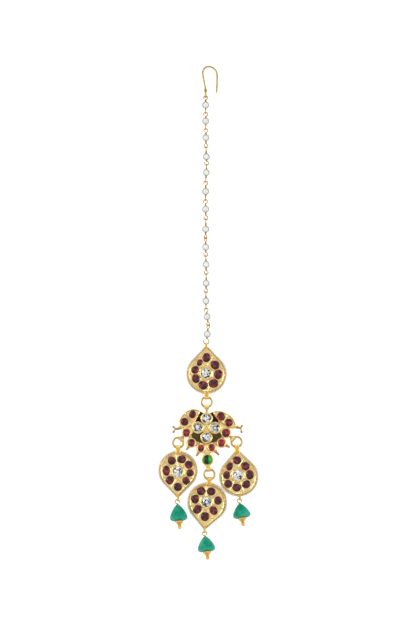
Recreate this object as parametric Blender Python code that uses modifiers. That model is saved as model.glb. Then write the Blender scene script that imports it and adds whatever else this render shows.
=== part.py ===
"""A maang tikka, a forehead jewel, lying face up.

A wire hook, a chain of fourteen pearls on eye pins, a pear-shaped drop, a centre piece of collets between
two wings, and three more drops with green beads. X runs to the right, Y up the jewel from its beads to its
hook, and Z towards the eye. The back plates lie on z = 0. All lengths are in metres.
"""
import math
from collections import namedtuple

import bmesh
import bpy
from mathutils import Matrix, Vector

MM = 0.001

# Clearances
LINK_GAP = 0.12 * MM
BORE_GAP = 0.15 * MM
SEAT_GAP = 0.25 * MM
DROP_SPACING = 0.25 * MM

# Wires and loops
PIN_WIRE_DIA = 0.42 * MM
PIN_LOOP_DIA = 2.05 * MM
END_LOOP_DIA = 2.7 * MM
BEAD_LOOP_DIA = 2.25 * MM
LONGEST_WRAP = 1.1 * MM
WRAP_DIA = 0.95 * MM
WRAP_TIP_DIA = 0.67 * MM
WIRE_SIDES = 5
LOOP_STEPS = 9
LOOP_SWEEP = math.radians(315)

# Hook
HOOK_WIRE_DIA = 0.75 * MM
HOOK_LOOP_DIA = 2.7 * MM
HOOK_LENGTH = 12.1 * MM
HOOK_SHANK_DIA = 1.1 * MM

# Pearls
PEARL_DIA = 3.07 * MM
PEARL_SIDES = 10
PEARL_BANDS = 6

# Jump rings and bails
RING_WIRE_DIA = 0.86 * MM
RING_DIA = 5.2 * MM
RING_SIDES = 14
BAIL_WALL = 0.28 * MM
BAIL_LENGTH = 2.0 * MM
BAIL_FLOOR_GAP = 0.15 * MM
SMALL_BAIL_WALL = 0.25 * MM
SMALL_BAIL_LENGTH = 1.0 * MM
BAIL_SIDES = 10
NECK_DIA = 0.9 * MM

# Drops
DROP_WIDTH = 16.8 * MM
DROP_LENGTH = 19.8 * MM
DROP_TIP_RADIUS = 1.45 * MM
DROP_HEIGHT = 2.5 * MM
FLANGE_HEIGHT = 0.4 * MM
FLANGE_INSET = 0.25 * MM
SEED_DIA = 0.82 * MM
TAB_SHARE = 0.85
TAB_OVERLAP = 0.85 * MM
TAB_THICKNESS = 0.5 * MM
RUBY_RISE = 0.55 * MM
RUBY_HALF_HEIGHT = 0.82 * MM
DIAMOND_DIA = 4.3 * MM
COLLET_WALL = 0.5 * MM
COLLET_RISE = 0.3 * MM
COLLET_TIP_REACH = 3.7 * MM
COLLET_TIP_RADIUS = 0.3 * MM

# Cut stones: depth, crown and girdle, the rise over the collet, and the table and culet as shares of the width
STONE_DEPTH = 1.5 * MM
STONE_RISE = 0.15 * MM
CROWN_HEIGHT = 0.8 * MM
GIRDLE_HEIGHT = 0.15 * MM
TABLE_SHARE = 0.58
CULET_SHARE = 0.35
STONE_FACETS = 8

# Centre piece
CENTRE_HALF_WIDTH = 11.7 * MM
PLATE_HEIGHT = 0.5 * MM
WING_HEIGHT = 2.1 * MM
CENTRE_COLLET_HEIGHT = 2.5 * MM
RUBY_COLLET_HEIGHT = 2.0 * MM
RUBY_COLLET_WALL = 0.5 * MM
CENTRE_DIAMOND_DIA = 3.7 * MM
GREEN_STONE_DIA = 3.7 * MM
GREEN_STONE_RISE = 1.0 * MM
GREEN_TIP_REACH = 3.45 * MM
FORK_WIRE_DIA = 0.8 * MM
FORK_TIP_DIA = 0.72 * MM
GRANULE_DIA = 1.0 * MM
POST_WIRE_DIA = 0.7 * MM

# Green beads with their caps
BEAD_DIA = 7.6 * MM
BEAD_LENGTH = 6.7 * MM
BEAD_NECK = 0.35 * MM
BEAD_SIDES = 12
CAP_DIA = 3.4 * MM
CAP_LENGTH = 1.8 * MM
CAP_BORE_DEPTH = 1.1 * MM
BALL_DIA = 1.8 * MM
BALL_NECK_DIA = 1.1 * MM

# Fineness
ROUND_STEPS = 10
ARC_STEP = math.radians(15)
SHARP_ANGLE = math.radians(40)
WELD = 0.001 * MM

Spot = namedtuple("Spot", "name across along")
Stone = namedtuple("Stone", "name across along width length turn")
Link = namedtuple("Link", "lean wrap_above wrap_below turn_above turn_below")
Drop = namedtuple("Drop", "name size lean diamond rubies")
Post = namedtuple("Post", "collet across along")
Bail = namedtuple("Bail", "collet across along to_ring onward")
BeadLie = namedtuple("BeadLie", "loop lean length")

# From the hook down: lean to the right in degrees, wraps as shares of LONGEST_WRAP, and how far each loop is
# turned from lying flat, in degrees
CHAIN = [
    Link(0.3, 0.44, 0.24, 0, 90),
    Link(0.5, 0.24, 0.34, 0, 90),
    Link(0.5, 0.34, 0.80, 0, 0),
    Link(2.3, 0.80, 0.20, 90, 0),
    Link(-3.0, 0.20, 0.80, 90, 90),
    Link(-0.8, 0.80, 0.55, 0, 90),
    Link(1.2, 0.55, 1.00, 0, 0),
    Link(-1.0, 1.00, 0.62, 90, 45),
    Link(0.8, 0.62, 0.45, -45, 0),
    Link(1.3, 0.45, 0.77, 90, 0),
    Link(-0.8, 0.77, 0.55, 90, 0),
    Link(-0.2, 0.55, 0.20, 90, 90),
    Link(8.5, 0.20, 0.53, 0, 45),
    Link(-7.5, 0.53, 0.20, -45, 0),
]

# The hook's bends from the loop's centre, as shares of HOOK_LENGTH: across, along
HOOK_BENDS = [
    (-0.01, 0.25), (-0.07, 0.57), (-0.10, 0.80), (-0.01, 0.96), (0.12, 1.00),
    (0.29, 0.93), (0.385, 0.78), (0.40, 0.50), (0.38, 0.05),
]

# Drops: size, lean of the tip from straight up the jewel, then the stones' places and sizes, seen with the tip
# upwards: across and sizes as shares of half the width, along as shares of the way to the tip or the round end
DROPS = {
    "upper": Drop("upper", 1.015, 0.5, Spot("diamond", -0.03, 0.015), [
        Stone("tip", 0.01, 0.589, 0.185, 0.215, 0),
        Stone("right_1", 0.42, 0.317, 0.19, 0.22, 45),
        Stone("right_2", 0.58, -0.03, 0.195, 0.225, -10),
        Stone("right_3", 0.34, -0.47, 0.225, 0.20, 20),
        Stone("left_4", -0.17, -0.56, 0.215, 0.195, -15),
        Stone("left_3", -0.53, -0.23, 0.175, 0.205, 15),
        Stone("left_2", -0.56, 0.147, 0.17, 0.18, -20),
        Stone("left_1", -0.33, 0.413, 0.13, 0.155, -20),
    ]),
    "left": Drop("left", 0.99, 179.7, Spot("diamond", 0.01, 0.044), [
        Stone("round_1", 0.32, -0.50, 0.185, 0.195, 15),
        Stone("round_2", -0.18, -0.57, 0.215, 0.18, 5),
        Stone("left_1", -0.54, -0.30, 0.18, 0.18, 45),
        Stone("left_2", -0.61, 0.088, 0.175, 0.165, 0),
        Stone("left_3", -0.41, 0.383, 0.165, 0.20, 40),
        Stone("tip", 0.0, 0.604, 0.19, 0.20, 0),
        Stone("right_2", 0.41, 0.361, 0.18, 0.21, -40),
        Stone("right_1", 0.59, 0.0, 0.17, 0.24, 0),
    ]),
    "middle": Drop("middle", 1.0, 174.5, Spot("diamond", 0.04, -0.01), [
        Stone("round_1", 0.36, -0.54, 0.19, 0.21, 30),
        Stone("round_2", -0.15, -0.56, 0.20, 0.19, 0),
        Stone("left_1", -0.53, -0.14, 0.18, 0.20, 0),
        Stone("left_2", -0.36, 0.28, 0.18, 0.21, 40),
        Stone("tip", 0.04, 0.531, 0.20, 0.21, 0),
        Stone("right_2", 0.45, 0.295, 0.18, 0.22, -40),
        Stone("right_1", 0.61, -0.10, 0.175, 0.21, 0),
    ]),
    "right": Drop("right", 0.99, 1.0, Spot("diamond", -0.03, 0.059), [
        Stone("tip", -0.03, 0.619, 0.195, 0.19, 0),
        Stone("right_1", 0.37, 0.383, 0.19, 0.20, 40),
        Stone("right_2", 0.57, 0.059, 0.18, 0.225, 0),
        Stone("right_3", 0.36, -0.40, 0.20, 0.18, 40),
        Stone("round_2", -0.13, -0.53, 0.20, 0.19, 0),
        Stone("left_3", -0.54, -0.32, 0.19, 0.185, -30),
        Stone("left_2", -0.60, 0.096, 0.165, 0.185, 0),
        Stone("left_1", -0.43, 0.405, 0.15, 0.20, -20),
    ]),
}

# Centre piece: places and sizes as shares of CENTRE_HALF_WIDTH
CENTRE_DIAMONDS = [
    Spot("top", 0.0, 0.455), Spot("left", -0.315, 0.13), Spot("right", 0.295, 0.12), Spot("bottom", -0.01, -0.226),
]
WING_RUBIES = [
    Stone("left_inner", -0.51, 0.60, 0.125, 0.145, -15),
    Stone("left_outer", -0.79, 0.337, 0.145, 0.145, 0),
    Stone("right_outer", 0.80, 0.312, 0.135, 0.145, 20),
    Stone("right_inner", 0.51, 0.527, 0.14, 0.155, 30),
]
COLLET_RUBIES = [
    Stone("left_side", -0.724, -0.057, 0.12, 0.13, 0),
    Stone("left_lower", -0.548, -0.416, 0.12, 0.14, -15),
    Stone("left_foot", -0.204, -0.61, 0.105, 0.135, 0),
    Stone("right_foot", 0.18, -0.584, 0.105, 0.135, 10),
    Stone("right_lower", 0.53, -0.423, 0.12, 0.14, 0),
    Stone("right_side", 0.69, -0.065, 0.14, 0.145, 30),
]
GREEN_STONE = Spot("green", 0.03, -1.025)
LEFT_WING = [
    (-0.24, 0.70), (-0.46, 0.79), (-0.69, 0.74), (-0.86, 0.59), (-0.99, 0.39), (-1.0, 0.20),
    (-0.90, 0.10), (-0.67, 0.11), (-0.545, 0.18), (-0.40, 0.36),
]
RIGHT_WING = [
    (0.23, 0.66), (0.41, 0.40), (0.57, 0.27), (0.75, 0.13), (0.93, 0.09), (1.06, 0.17),
    (1.03, 0.31), (0.93, 0.48), (0.74, 0.63), (0.48, 0.73),
]
BACK_PLATE = [
    (-0.30, 0.68), (-0.45, 0.30), (-0.72, 0.0), (-0.52, -0.42), (-0.18, -0.70), (0.0, -0.86),
    (0.16, -0.68), (0.52, -0.42), (0.70, 0.0), (0.48, 0.28), (0.28, 0.66),
]
LEFT_FORK = [(-0.90, 0.14), (-1.02, 0.09), (-1.13, 0.075)]
LEFT_FORK_TIPS = [(-1.195, 0.15), (-1.125, 0.075), (-1.19, -0.03)]
RIGHT_FORK = [(0.98, 0.17), (1.12, 0.13), (1.22, 0.11)]
RIGHT_FORK_TIPS = [(1.26, 0.185), (1.225, 0.10), (1.25, -0.03)]
POSTS = [
    Post("left_lower", -0.71, -0.65),
    Post("left_foot", -0.36, -0.87),
    Post("right_foot", 0.42, -0.84),
    Post("right_lower", 0.79, -0.57),
]

# Bails of the centre piece, as shares of CENTRE_HALF_WIDTH: the stone whose collet holds each, the way to its
# ring's centre in degrees, and the way on from there to the drop's bail
BAILS = {
    "top": Bail("top", 0.0, 0.867, 90, 90),
    "left": Bail("left_side", -0.912, -0.281, 230, 270),
    "right": Bail("right_side", 0.939, -0.276, -40.6, -86),
    "bottom": Bail("green", 0.072, -1.375, -82, -90),
}

# How each bead drop lies on its side: its loop's centre and its pin, in degrees from straight down to the right,
# and the bead's length as a share of BEAD_LENGTH
BEAD_LIES = {"left": BeadLie(-15, 5.5, 1.0), "middle": BeadLie(12, 7, 0.93), "right": BeadLie(-14, 9, 0.88)}

# The bead's outline from the loop down: radius as a share of half the width, place as a share of the length
BEAD_PROFILE = [(0.18, 0.0), (0.42, 0.14), (0.70, 0.38), (0.92, 0.64), (1.0, 0.84), (0.88, 0.95), (0.5, 1.0)]

# The cap's outline from the bead down and the green stone's from its crown down, in the same shares
CAP_PROFILE = [(0.94, 0.0), (1.0, 0.3), (0.6, 0.8)]
GREEN_PROFILE = [(0.0, 1.0), (0.55, 0.83), (0.9, 0.4), (1.0, 0.0)]

CHAIN_HEIGHT = PEARL_DIA / 2
PIN_LOOP_RADIUS = (PIN_LOOP_DIA - PIN_WIRE_DIA) / 2
END_LOOP_RADIUS = (END_LOOP_DIA - PIN_WIRE_DIA) / 2
BEAD_LOOP_RADIUS = (BEAD_LOOP_DIA - PIN_WIRE_DIA) / 2
HOOK_LOOP_RADIUS = (HOOK_LOOP_DIA - HOOK_WIRE_DIA) / 2
RING_RADIUS = (RING_DIA - RING_WIRE_DIA) / 2


def bail_fit(loop_radius, length):
    """Half the rise of a round wire over a straight bail of this length."""
    return (loop_radius - math.sqrt(loop_radius ** 2 - (length / 2) ** 2)) / 2


RING_SLACK = bail_fit(RING_RADIUS, BAIL_LENGTH)
BEAD_SLACK = bail_fit(BEAD_LOOP_RADIUS, SMALL_BAIL_LENGTH)
BAIL_BORE = RING_WIRE_DIA / 2 + RING_SLACK + LINK_GAP + BORE_GAP / 2
BAIL_RADIUS = BAIL_BORE + BAIL_WALL
BAIL_HEIGHT = BAIL_RADIUS + BAIL_FLOOR_GAP
SMALL_BAIL_BORE = PIN_WIRE_DIA / 2 + BEAD_SLACK + LINK_GAP + BORE_GAP / 4
SMALL_BAIL_RADIUS = SMALL_BAIL_BORE + SMALL_BAIL_WALL

BORDER_INSET = SEED_DIA / 2
BORDER_HEIGHT = FLANGE_HEIGHT + SEAT_GAP + SEED_DIA / 2
BODY_INSET = SEED_DIA + SEAT_GAP
TAB_BOTTOM = BORDER_HEIGHT + SEED_DIA / 2 + SEAT_GAP
TAB_TOP = TAB_BOTTOM + TAB_THICKNESS
POCKET_DEPTH = STONE_DEPTH + SEAT_GAP - STONE_RISE

parts = bpy.data.collections.new("maang_tikka")
materials = {}


def clear_scene():
    """Start from an empty scene."""
    for item in list(bpy.data.objects):
        bpy.data.objects.remove(item)


def material(name, colour, roughness, metallic, transmission=0.0):
    """A plain Principled material, kept by name."""
    made = bpy.data.materials.new(name)
    made.use_nodes = True
    shader = made.node_tree.nodes["Principled BSDF"]
    shader.inputs["Base Color"].default_value = (*colour, 1)
    shader.inputs["Roughness"].default_value = roughness
    shader.inputs["Metallic"].default_value = metallic
    shader.inputs["Transmission Weight"].default_value = transmission
    materials[name] = made


def make_materials():
    """The jewel's finishes, in the photograph's colours."""
    material("gold", (0.83, 0.60, 0.24), 0.28, 1.0)
    material("gold_wire", (0.86, 0.66, 0.30), 0.25, 1.0)
    material("pearl", (0.90, 0.90, 0.86), 0.22, 0.0)
    material("seed_pearl", (0.87, 0.85, 0.76), 0.3, 0.0)
    material("diamond", (0.93, 0.95, 0.96), 0.03, 0.0, 0.8)
    material("green_stone", (0.02, 0.42, 0.09), 0.08, 0.0)
    material("green_bead", (0.02, 0.36, 0.25), 0.25, 0.0)


def new_object(name, data, finish=None, parent=None):
    """Link an object of the jewel, with its finish and its parent."""
    made = bpy.data.objects.new(name, data)
    parts.objects.link(made)
    made.parent = parent
    if finish:
        data.materials.append(materials[finish])
    return made


def smooth_mesh(mesh):
    """Round faces shaded smooth, with sharp edges kept."""
    mesh.shade_smooth()
    mesh.set_sharp_from_angle(angle=SHARP_ANGLE)


def solid_of(item):
    """Turn a curve or a modified object into a plain welded mesh object of the same name."""
    bpy.context.view_layer.update()
    name, finish, parent = item.name, list(item.data.materials), item.parent
    place = item.matrix_basis.copy()
    evaluated = item.evaluated_get(bpy.context.evaluated_depsgraph_get())
    mesh = bpy.data.meshes.new_from_object(evaluated)
    bpy.data.objects.remove(item)
    shape = bmesh.new()
    shape.from_mesh(mesh)
    bmesh.ops.remove_doubles(shape, verts=shape.verts, dist=WELD)
    bmesh.ops.recalc_face_normals(shape, faces=shape.faces)
    shape.to_mesh(mesh)
    shape.free()
    mesh.materials.clear()
    for each in finish:
        mesh.materials.append(each)
    made = new_object(name, mesh, None, parent)
    made.matrix_basis = place
    smooth_mesh(mesh)
    return made


def turned(name, profile, sides, finish=None, parent=None):
    """A turned solid: radius and height pairs down the outer side, spun about the object's Z."""
    mesh = bpy.data.meshes.new(name)
    points = [(radius, 0, height) for radius, height in profile]
    closed = profile[0][0] > 0
    edges = [(i, i + 1) for i in range(len(points) - 1)]
    if closed:
        edges.append((len(points) - 1, 0))
    mesh.from_pydata(points, edges, [])
    made = new_object(name, mesh, finish, parent)
    screw = made.modifiers.new("turn", "SCREW")
    screw.steps = screw.render_steps = sides
    screw.use_merge_vertices = True
    screw.merge_threshold = WELD
    return solid_of(made)


def wire_section(diameter):
    """The cross section that a wire is drawn with."""
    curve = bpy.data.curves.new("wire_section", "CURVE")
    spline = curve.splines.new("POLY")
    spline.points.add(WIRE_SIDES - 1)
    spline.use_cyclic_u = True
    for i, place in enumerate(spline.points):
        angle = math.tau * i / WIRE_SIDES
        place.co = (math.cos(angle) * diameter / 2, math.sin(angle) * diameter / 2, 0, 1)
    return new_object("wire_section", curve)


def wire(name, points, diameter, finish=None, parent=None, swell=None, closed=False):
    """A round wire through the points, with a swelling factor at each where given."""
    section = wire_section(diameter)
    curve = bpy.data.curves.new(name, "CURVE")
    curve.dimensions = "3D"
    curve.bevel_mode = "OBJECT"
    curve.bevel_object = section
    curve.use_fill_caps = not closed
    spline = curve.splines.new("POLY")
    spline.points.add(len(points) - 1)
    spline.use_cyclic_u = closed
    for place, point, factor in zip(spline.points, points, swell or [1] * len(points)):
        place.co = (*point, 1)
        place.radius = factor
    made = solid_of(new_object(name, curve, finish, parent))
    bpy.data.objects.remove(section)
    return made


def plate(name, outline, bottom, top, finish=None, parent=None):
    """A flat plate with this outline between two heights."""
    curve = bpy.data.curves.new(name, "CURVE")
    curve.dimensions = "2D"
    curve.fill_mode = "BOTH"
    curve.extrude = (top - bottom) / 2
    spline = curve.splines.new("POLY")
    spline.points.add(len(outline) - 1)
    spline.use_cyclic_u = True
    for place, (x, y) in zip(spline.points, outline):
        place.co = (x, y, 0, 1)
    made = new_object(name, curve, finish, parent)
    made.location.z = (top + bottom) / 2
    return solid_of(made)


def cylinder(name, centre, axis, radius, length, sides=BAIL_SIDES):
    """A plain cylinder about an axis through its centre."""
    mesh = bpy.data.meshes.new(name)
    shape = bmesh.new()
    bmesh.ops.create_cone(shape, cap_ends=True, segments=sides, radius1=radius, radius2=radius, depth=length)
    shape.to_mesh(mesh)
    shape.free()
    made = new_object(name, mesh)
    made.matrix_basis = Matrix.Translation(centre) @ Vector(axis).to_track_quat("Z", "Y").to_matrix().to_4x4()
    return made


def dome(name, centre, half_size, turn, sides=8, rings=4):
    """A ball stretched to a cabochon, turned about Z."""
    mesh = bpy.data.meshes.new(name)
    shape = bmesh.new()
    bmesh.ops.create_uvsphere(shape, u_segments=sides, v_segments=rings, radius=1)
    stretch = Matrix.Diagonal((*half_size, 1))
    spin = Matrix.Rotation(math.radians(turn), 4, "Z")
    bmesh.ops.transform(shape, matrix=spin @ stretch, verts=shape.verts)
    shape.to_mesh(mesh)
    shape.free()
    made = new_object(name, mesh)
    made.location = centre
    return made


def block(name, start, end, width, bottom, top):
    """A bar of a given width between two points of the plan."""
    start, end = Vector(start), Vector(end)
    side = (end - start).normalized().orthogonal() * width / 2
    return plate(name, [start + side, start - side, end - side, end + side], bottom, top)


def combine(target, others, operation):
    """Join the other solids to the target, or cut them from it, and drop them."""
    group = bpy.data.collections.new(operation)
    for other in others:
        group.objects.link(other)
    step = target.modifiers.new(operation, "BOOLEAN")
    step.operation = operation
    step.operand_type = "COLLECTION"
    step.collection = group
    made = solid_of(target)
    for other in others:
        bpy.data.objects.remove(other)
    bpy.data.collections.remove(group)
    return made


def arc(centre, radius, start, end, step=ARC_STEP):
    """Points of an arc, anticlockwise, with both ends."""
    count = max(1, round((end - start) / step))
    angles = [start + (end - start) * i / count for i in range(count + 1)]
    return [Vector((centre[0] + radius * math.cos(a), centre[1] + radius * math.sin(a))) for a in angles]


def pear(half_width, reach, tip_radius, step=ARC_STEP):
    """A round end about the origin and a small round tip towards +Y, joined by straight flanks."""
    tip = reach - tip_radius
    flank = math.asin((half_width - tip_radius) / tip)
    return (arc((0, 0), half_width, math.pi - flank, 2 * math.pi + flank, step)
            + arc((0, tip), tip_radius, flank, math.pi - flank, step * 2))


def smoothed(points, steps, closed=False):
    """Points along a smooth curve through the given ones."""
    points = [Vector(point) for point in points]
    last = len(points) - 1
    out = []
    for i in range(len(points) if closed else last):
        if closed:
            a, b, c, d = (points[(i + k) % len(points)] for k in (-1, 0, 1, 2))
        else:
            a, b, c, d = (points[min(max(i + k, 0), last)] for k in (-1, 0, 1, 2))
        for k in range(steps):
            t = k / steps
            out.append(b + (c - a) * t / 2 + (a * 2 - b * 5 + c * 4 - d) * t * t / 2
                       + (b * 3 - a - c * 3 + d) * t * t * t / 2)
    return out if closed else out + [points[-1]]


def heading(degrees):
    """The direction in the plan at an angle from +X."""
    return Vector((math.cos(math.radians(degrees)), math.sin(math.radians(degrees)), 0))


def loop_points(centre, radius, turn, outward):
    """A wire's open loop about a centre, starting next to the shank that it closes on."""
    level = Vector((math.cos(math.radians(turn)), 0, math.sin(math.radians(turn))))
    along = Vector((0, outward, 0))
    points = []
    for i in range(LOOP_STEPS + 1):
        angle = -math.pi / 2 + LOOP_SWEEP * i / LOOP_STEPS
        points.append(Vector(centre) + radius * (math.cos(angle) * level + math.sin(angle) * along))
    return points


def pearl(name, place, parent):
    """A pearl drilled along its own Z, laid along the chain."""
    radius, bore = PEARL_DIA / 2, PIN_WIRE_DIA / 2 + BORE_GAP
    rim = math.asin(bore / radius)
    profile = []
    for i in range(PEARL_BANDS + 1):
        angle = rim + (math.pi - 2 * rim) * i / PEARL_BANDS
        profile.append((radius * math.sin(angle), radius * math.cos(angle)))
    made = turned(name, profile, PEARL_SIDES, "pearl", parent)
    made.matrix_basis = place @ Matrix.Rotation(math.radians(90), 4, "X")


def eye_pin(name, link, place, parent, lower_dia):
    """A pin along its own Y through the pearl at its origin, with a coned wrap and a loop at each end."""
    radius = PEARL_DIA / 2
    wrap_seat = math.sqrt(radius ** 2 - (WRAP_DIA / 2) ** 2) + LINK_GAP
    shaft = wrap_seat - LINK_GAP / 2
    reach_up = radius + link.wrap_above * LONGEST_WRAP
    reach_down = radius + link.wrap_below * LONGEST_WRAP
    upper = loop_points((0, reach_up + PIN_LOOP_DIA / 2, 0), PIN_LOOP_RADIUS, link.turn_above, 1)
    lower = loop_points((0, -reach_down - lower_dia / 2, 0), (lower_dia - PIN_WIRE_DIA) / 2,
                        link.turn_below, -1)
    stem = [(0, -reach_down, 0), (0, -wrap_seat, 0), (0, -shaft, 0),
            (0, shaft, 0), (0, wrap_seat, 0), (0, reach_up, 0)]
    wide, narrow = WRAP_DIA / PIN_WIRE_DIA, WRAP_TIP_DIA / PIN_WIRE_DIA
    swell = [1] * len(lower) + [narrow, wide, 1, 1, wide, narrow] + [1] * len(upper)
    made = wire(name, lower[::-1] + stem + upper, PIN_WIRE_DIA, "gold_wire", parent, swell)
    made.matrix_basis = place


def chain(start, parent):
    """Pearls and pins up from the upper drop's bail; returns the topmost loop's centre and lean."""
    pitch = 2 * PIN_LOOP_RADIUS - PIN_WIRE_DIA - LINK_GAP
    centre = start
    for number in range(len(CHAIN), 0, -1):
        link = CHAIN[number - 1]
        lower_dia = END_LOOP_DIA if number == len(CHAIN) else PIN_LOOP_DIA
        way = heading(90 + link.lean)
        pearl_at = centre + way * (lower_dia / 2 + link.wrap_below * LONGEST_WRAP + PEARL_DIA / 2)
        top = pearl_at + way * (PEARL_DIA / 2 + link.wrap_above * LONGEST_WRAP + PIN_LOOP_DIA / 2)
        place = Matrix.Translation(pearl_at) @ Matrix.Rotation(math.radians(link.lean), 4, "Z")
        pearl(f"pearl_{number:02d}", place, parent)
        eye_pin(f"pin_{number:02d}", link, place, parent, lower_dia)
        following = heading(90 + CHAIN[max(number - 2, 0)].lean)
        centre = top + (way + following) / 2 * pitch
    return top


def hook(top_loop, parent):
    """The hook: a loop that stands on edge in the top pin's loop, and a crook that lies down to the floor."""
    pitch = HOOK_LOOP_RADIUS + PIN_LOOP_RADIUS - (HOOK_WIRE_DIA + PIN_WIRE_DIA) / 2 - LINK_GAP
    centre = top_loop + Vector((0, pitch, 0))
    drop = CHAIN_HEIGHT - HOOK_WIRE_DIA / 2
    eye = loop_points((0, 0, 0), HOOK_LOOP_RADIUS, 90, -1)[::-1]
    shank = Vector((0, HOOK_LOOP_DIA / 2, 0))
    bends = []
    for across, along in smoothed(HOOK_BENDS, 2):
        bends.append(Vector((across * HOOK_LENGTH, along * HOOK_LENGTH, -along * drop)))
    points = eye + [shank + Vector((0, HOOK_WIRE_DIA / 2, 0))] + bends
    swell = [1] * len(eye) + [HOOK_SHANK_DIA / HOOK_WIRE_DIA] + [1] * len(bends)
    made = wire("hook", points, HOOK_WIRE_DIA, "gold_wire", parent, swell)
    made.location = centre


def jump_ring(name, centre, parent):
    """A closed ring lying level at the height of its bails."""
    bpy.ops.mesh.primitive_torus_add(major_radius=RING_RADIUS, minor_radius=RING_WIRE_DIA / 2,
                                     major_segments=RING_SIDES, minor_segments=WIRE_SIDES)
    made = bpy.context.object
    made.name = made.data.name = name
    for group in made.users_collection:
        group.objects.unlink(made)
    parts.objects.link(made)
    made.parent = parent
    made.location = centre
    made.data.materials.append(materials["gold_wire"])
    smooth_mesh(made.data)


def diamond(name, centre, radius, parent):
    """A cut stone: a table, eight crown facets, a thin girdle and eight facets below."""
    girdle = STONE_DEPTH - CROWN_HEIGHT
    profile = [
        (0, STONE_DEPTH), (radius * TABLE_SHARE, STONE_DEPTH), (radius, girdle),
        (radius, girdle - GIRDLE_HEIGHT), (radius * CULET_SHARE, 0), (0, 0),
    ]
    made = turned(name, profile, STONE_FACETS, "diamond", parent)
    made.location = centre
    made.data.shade_flat()


def bail(centre, across, bore, wall, length):
    """The solid round of a bail and the cutter of its bore, both about an axis in the plan."""
    body = cylinder("bail", centre, across, bore + wall, length)
    hole = cylinder("bail_bore", centre, across, bore, length * 2)
    return body, hole


def drop_reach(drop, end):
    """From the middle of a drop's round end to its edge at the tip or at the round end."""
    half = DROP_WIDTH * drop.size / 2
    return DROP_LENGTH * drop.size - half if end == "tip" else half


def drop_bail_place(drop, end, radius):
    """A bail's distance from the middle of the round end, clear of the border."""
    reach = drop_reach(drop, end) + radius + SEAT_GAP
    return reach if end == "tip" else -reach


def stone_place(drop, stone, height):
    """A stone's place in its drop from its shares."""
    reach = drop_reach(drop, "tip" if stone.along > 0 else "round")
    return Vector((stone.across * DROP_WIDTH * drop.size / 2, stone.along * reach, height))


def drop_setting(drop, ring_end, parent):
    """A drop's setting with its rubies, tabs and bails, and a pocket for its diamond."""
    half, tip = DROP_WIDTH * drop.size / 2, drop_reach(drop, "tip")
    stone = drop.diamond
    stone_at = stone_place(drop, stone, 0)
    collet = DIAMOND_DIA / 2 + SEAT_GAP + COLLET_WALL
    top = DROP_HEIGHT + COLLET_RISE

    def outline(inset):
        return pear(half - inset, tip - inset, DROP_TIP_RADIUS - inset)

    setting = plate(f"{drop.name}_drop_setting", outline(FLANGE_INSET), 0, FLANGE_HEIGHT, "gold")
    rim = [stone_at.xy + point for point in pear(collet, COLLET_TIP_REACH, COLLET_TIP_RADIUS, ARC_STEP * 2)]
    joined = [
        plate("body", outline(BODY_INSET), FLANGE_HEIGHT / 2, DROP_HEIGHT),
        plate("collet", rim, FLANGE_HEIGHT, top),
    ]
    for ruby in drop.rubies:
        size = (ruby.width * half, ruby.length * half, RUBY_HALF_HEIGHT)
        place = stone_place(drop, ruby, DROP_HEIGHT + RUBY_RISE - RUBY_HALF_HEIGHT)
        joined.append(dome(ruby.name, place, size, ruby.turn))
    cutters = [cylinder("pocket", stone_at + Vector((0, 0, top)), (0, 0, 1), DIAMOND_DIA / 2 + SEAT_GAP,
                        2 * POCKET_DEPTH, ROUND_STEPS)]
    for end in ("tip", "round"):
        if end == ring_end:
            bore, wall, length, height = BAIL_BORE, BAIL_WALL, BAIL_LENGTH, BAIL_HEIGHT
        else:
            bore, wall, length, height = SMALL_BAIL_BORE, SMALL_BAIL_WALL, SMALL_BAIL_LENGTH, CHAIN_HEIGHT
        along = drop_bail_place(drop, end, bore + wall)
        body, hole = bail((0, along, height), (1, 0, 0), bore, wall, length)
        joined.append(body)
        cutters.append(hole)
        edge = drop_reach(drop, end) - BODY_INSET - TAB_OVERLAP
        inside = edge if end == "tip" else -edge
        joined.append(block("tab", (0, inside), (0, along), length * TAB_SHARE, TAB_BOTTOM, TAB_TOP))
    setting = combine(combine(setting, joined, "UNION"), cutters, "DIFFERENCE")
    setting.parent = parent
    diamond(f"{drop.name}_drop_diamond",
            stone_at + Vector((0, 0, top + STONE_RISE - STONE_DEPTH)), DIAMOND_DIA / 2, parent)


def drop_border(drop, parent):
    """The ring that the seed pearls follow, on the flange round the drop."""
    half, tip = DROP_WIDTH * drop.size / 2, drop_reach(drop, "tip")
    outline = pear(half - BORDER_INSET, tip - BORDER_INSET, DROP_TIP_RADIUS - BORDER_INSET)
    points = [(point.x, point.y, BORDER_HEIGHT) for point in outline]
    wire(f"{drop.name}_drop_border", points, SEED_DIA, "seed_pearl", parent, closed=True)


def lean_clear(drop, ring_end, bail_at, neighbour):
    """How far a drop swings about its bail, in degrees, to lie clear of its neighbour's round end.

    The neighbour is the middle of that round end and its radius. The drop keeps its own lean if that is clear.
    """
    arm = abs(drop_bail_place(drop, ring_end, BAIL_RADIUS))
    middle, radius = neighbour
    apart = drop_reach(drop, "round") + radius + DROP_SPACING
    towards = (middle - bail_at).xy
    cosine = (arm ** 2 + towards.length_squared - apart ** 2) / (2 * arm * towards.length)
    opening = math.acos(max(-1, min(1, cosine)))
    side = 1 if towards.x < 0 else -1
    hanging = 90 if ring_end == "tip" else -90
    needed = math.degrees(math.atan2(towards.y, towards.x) + side * opening) + hanging
    own = drop.lean if ring_end == "tip" else drop.lean - 360
    return max(own, needed) if side > 0 else min(own, needed)


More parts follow.
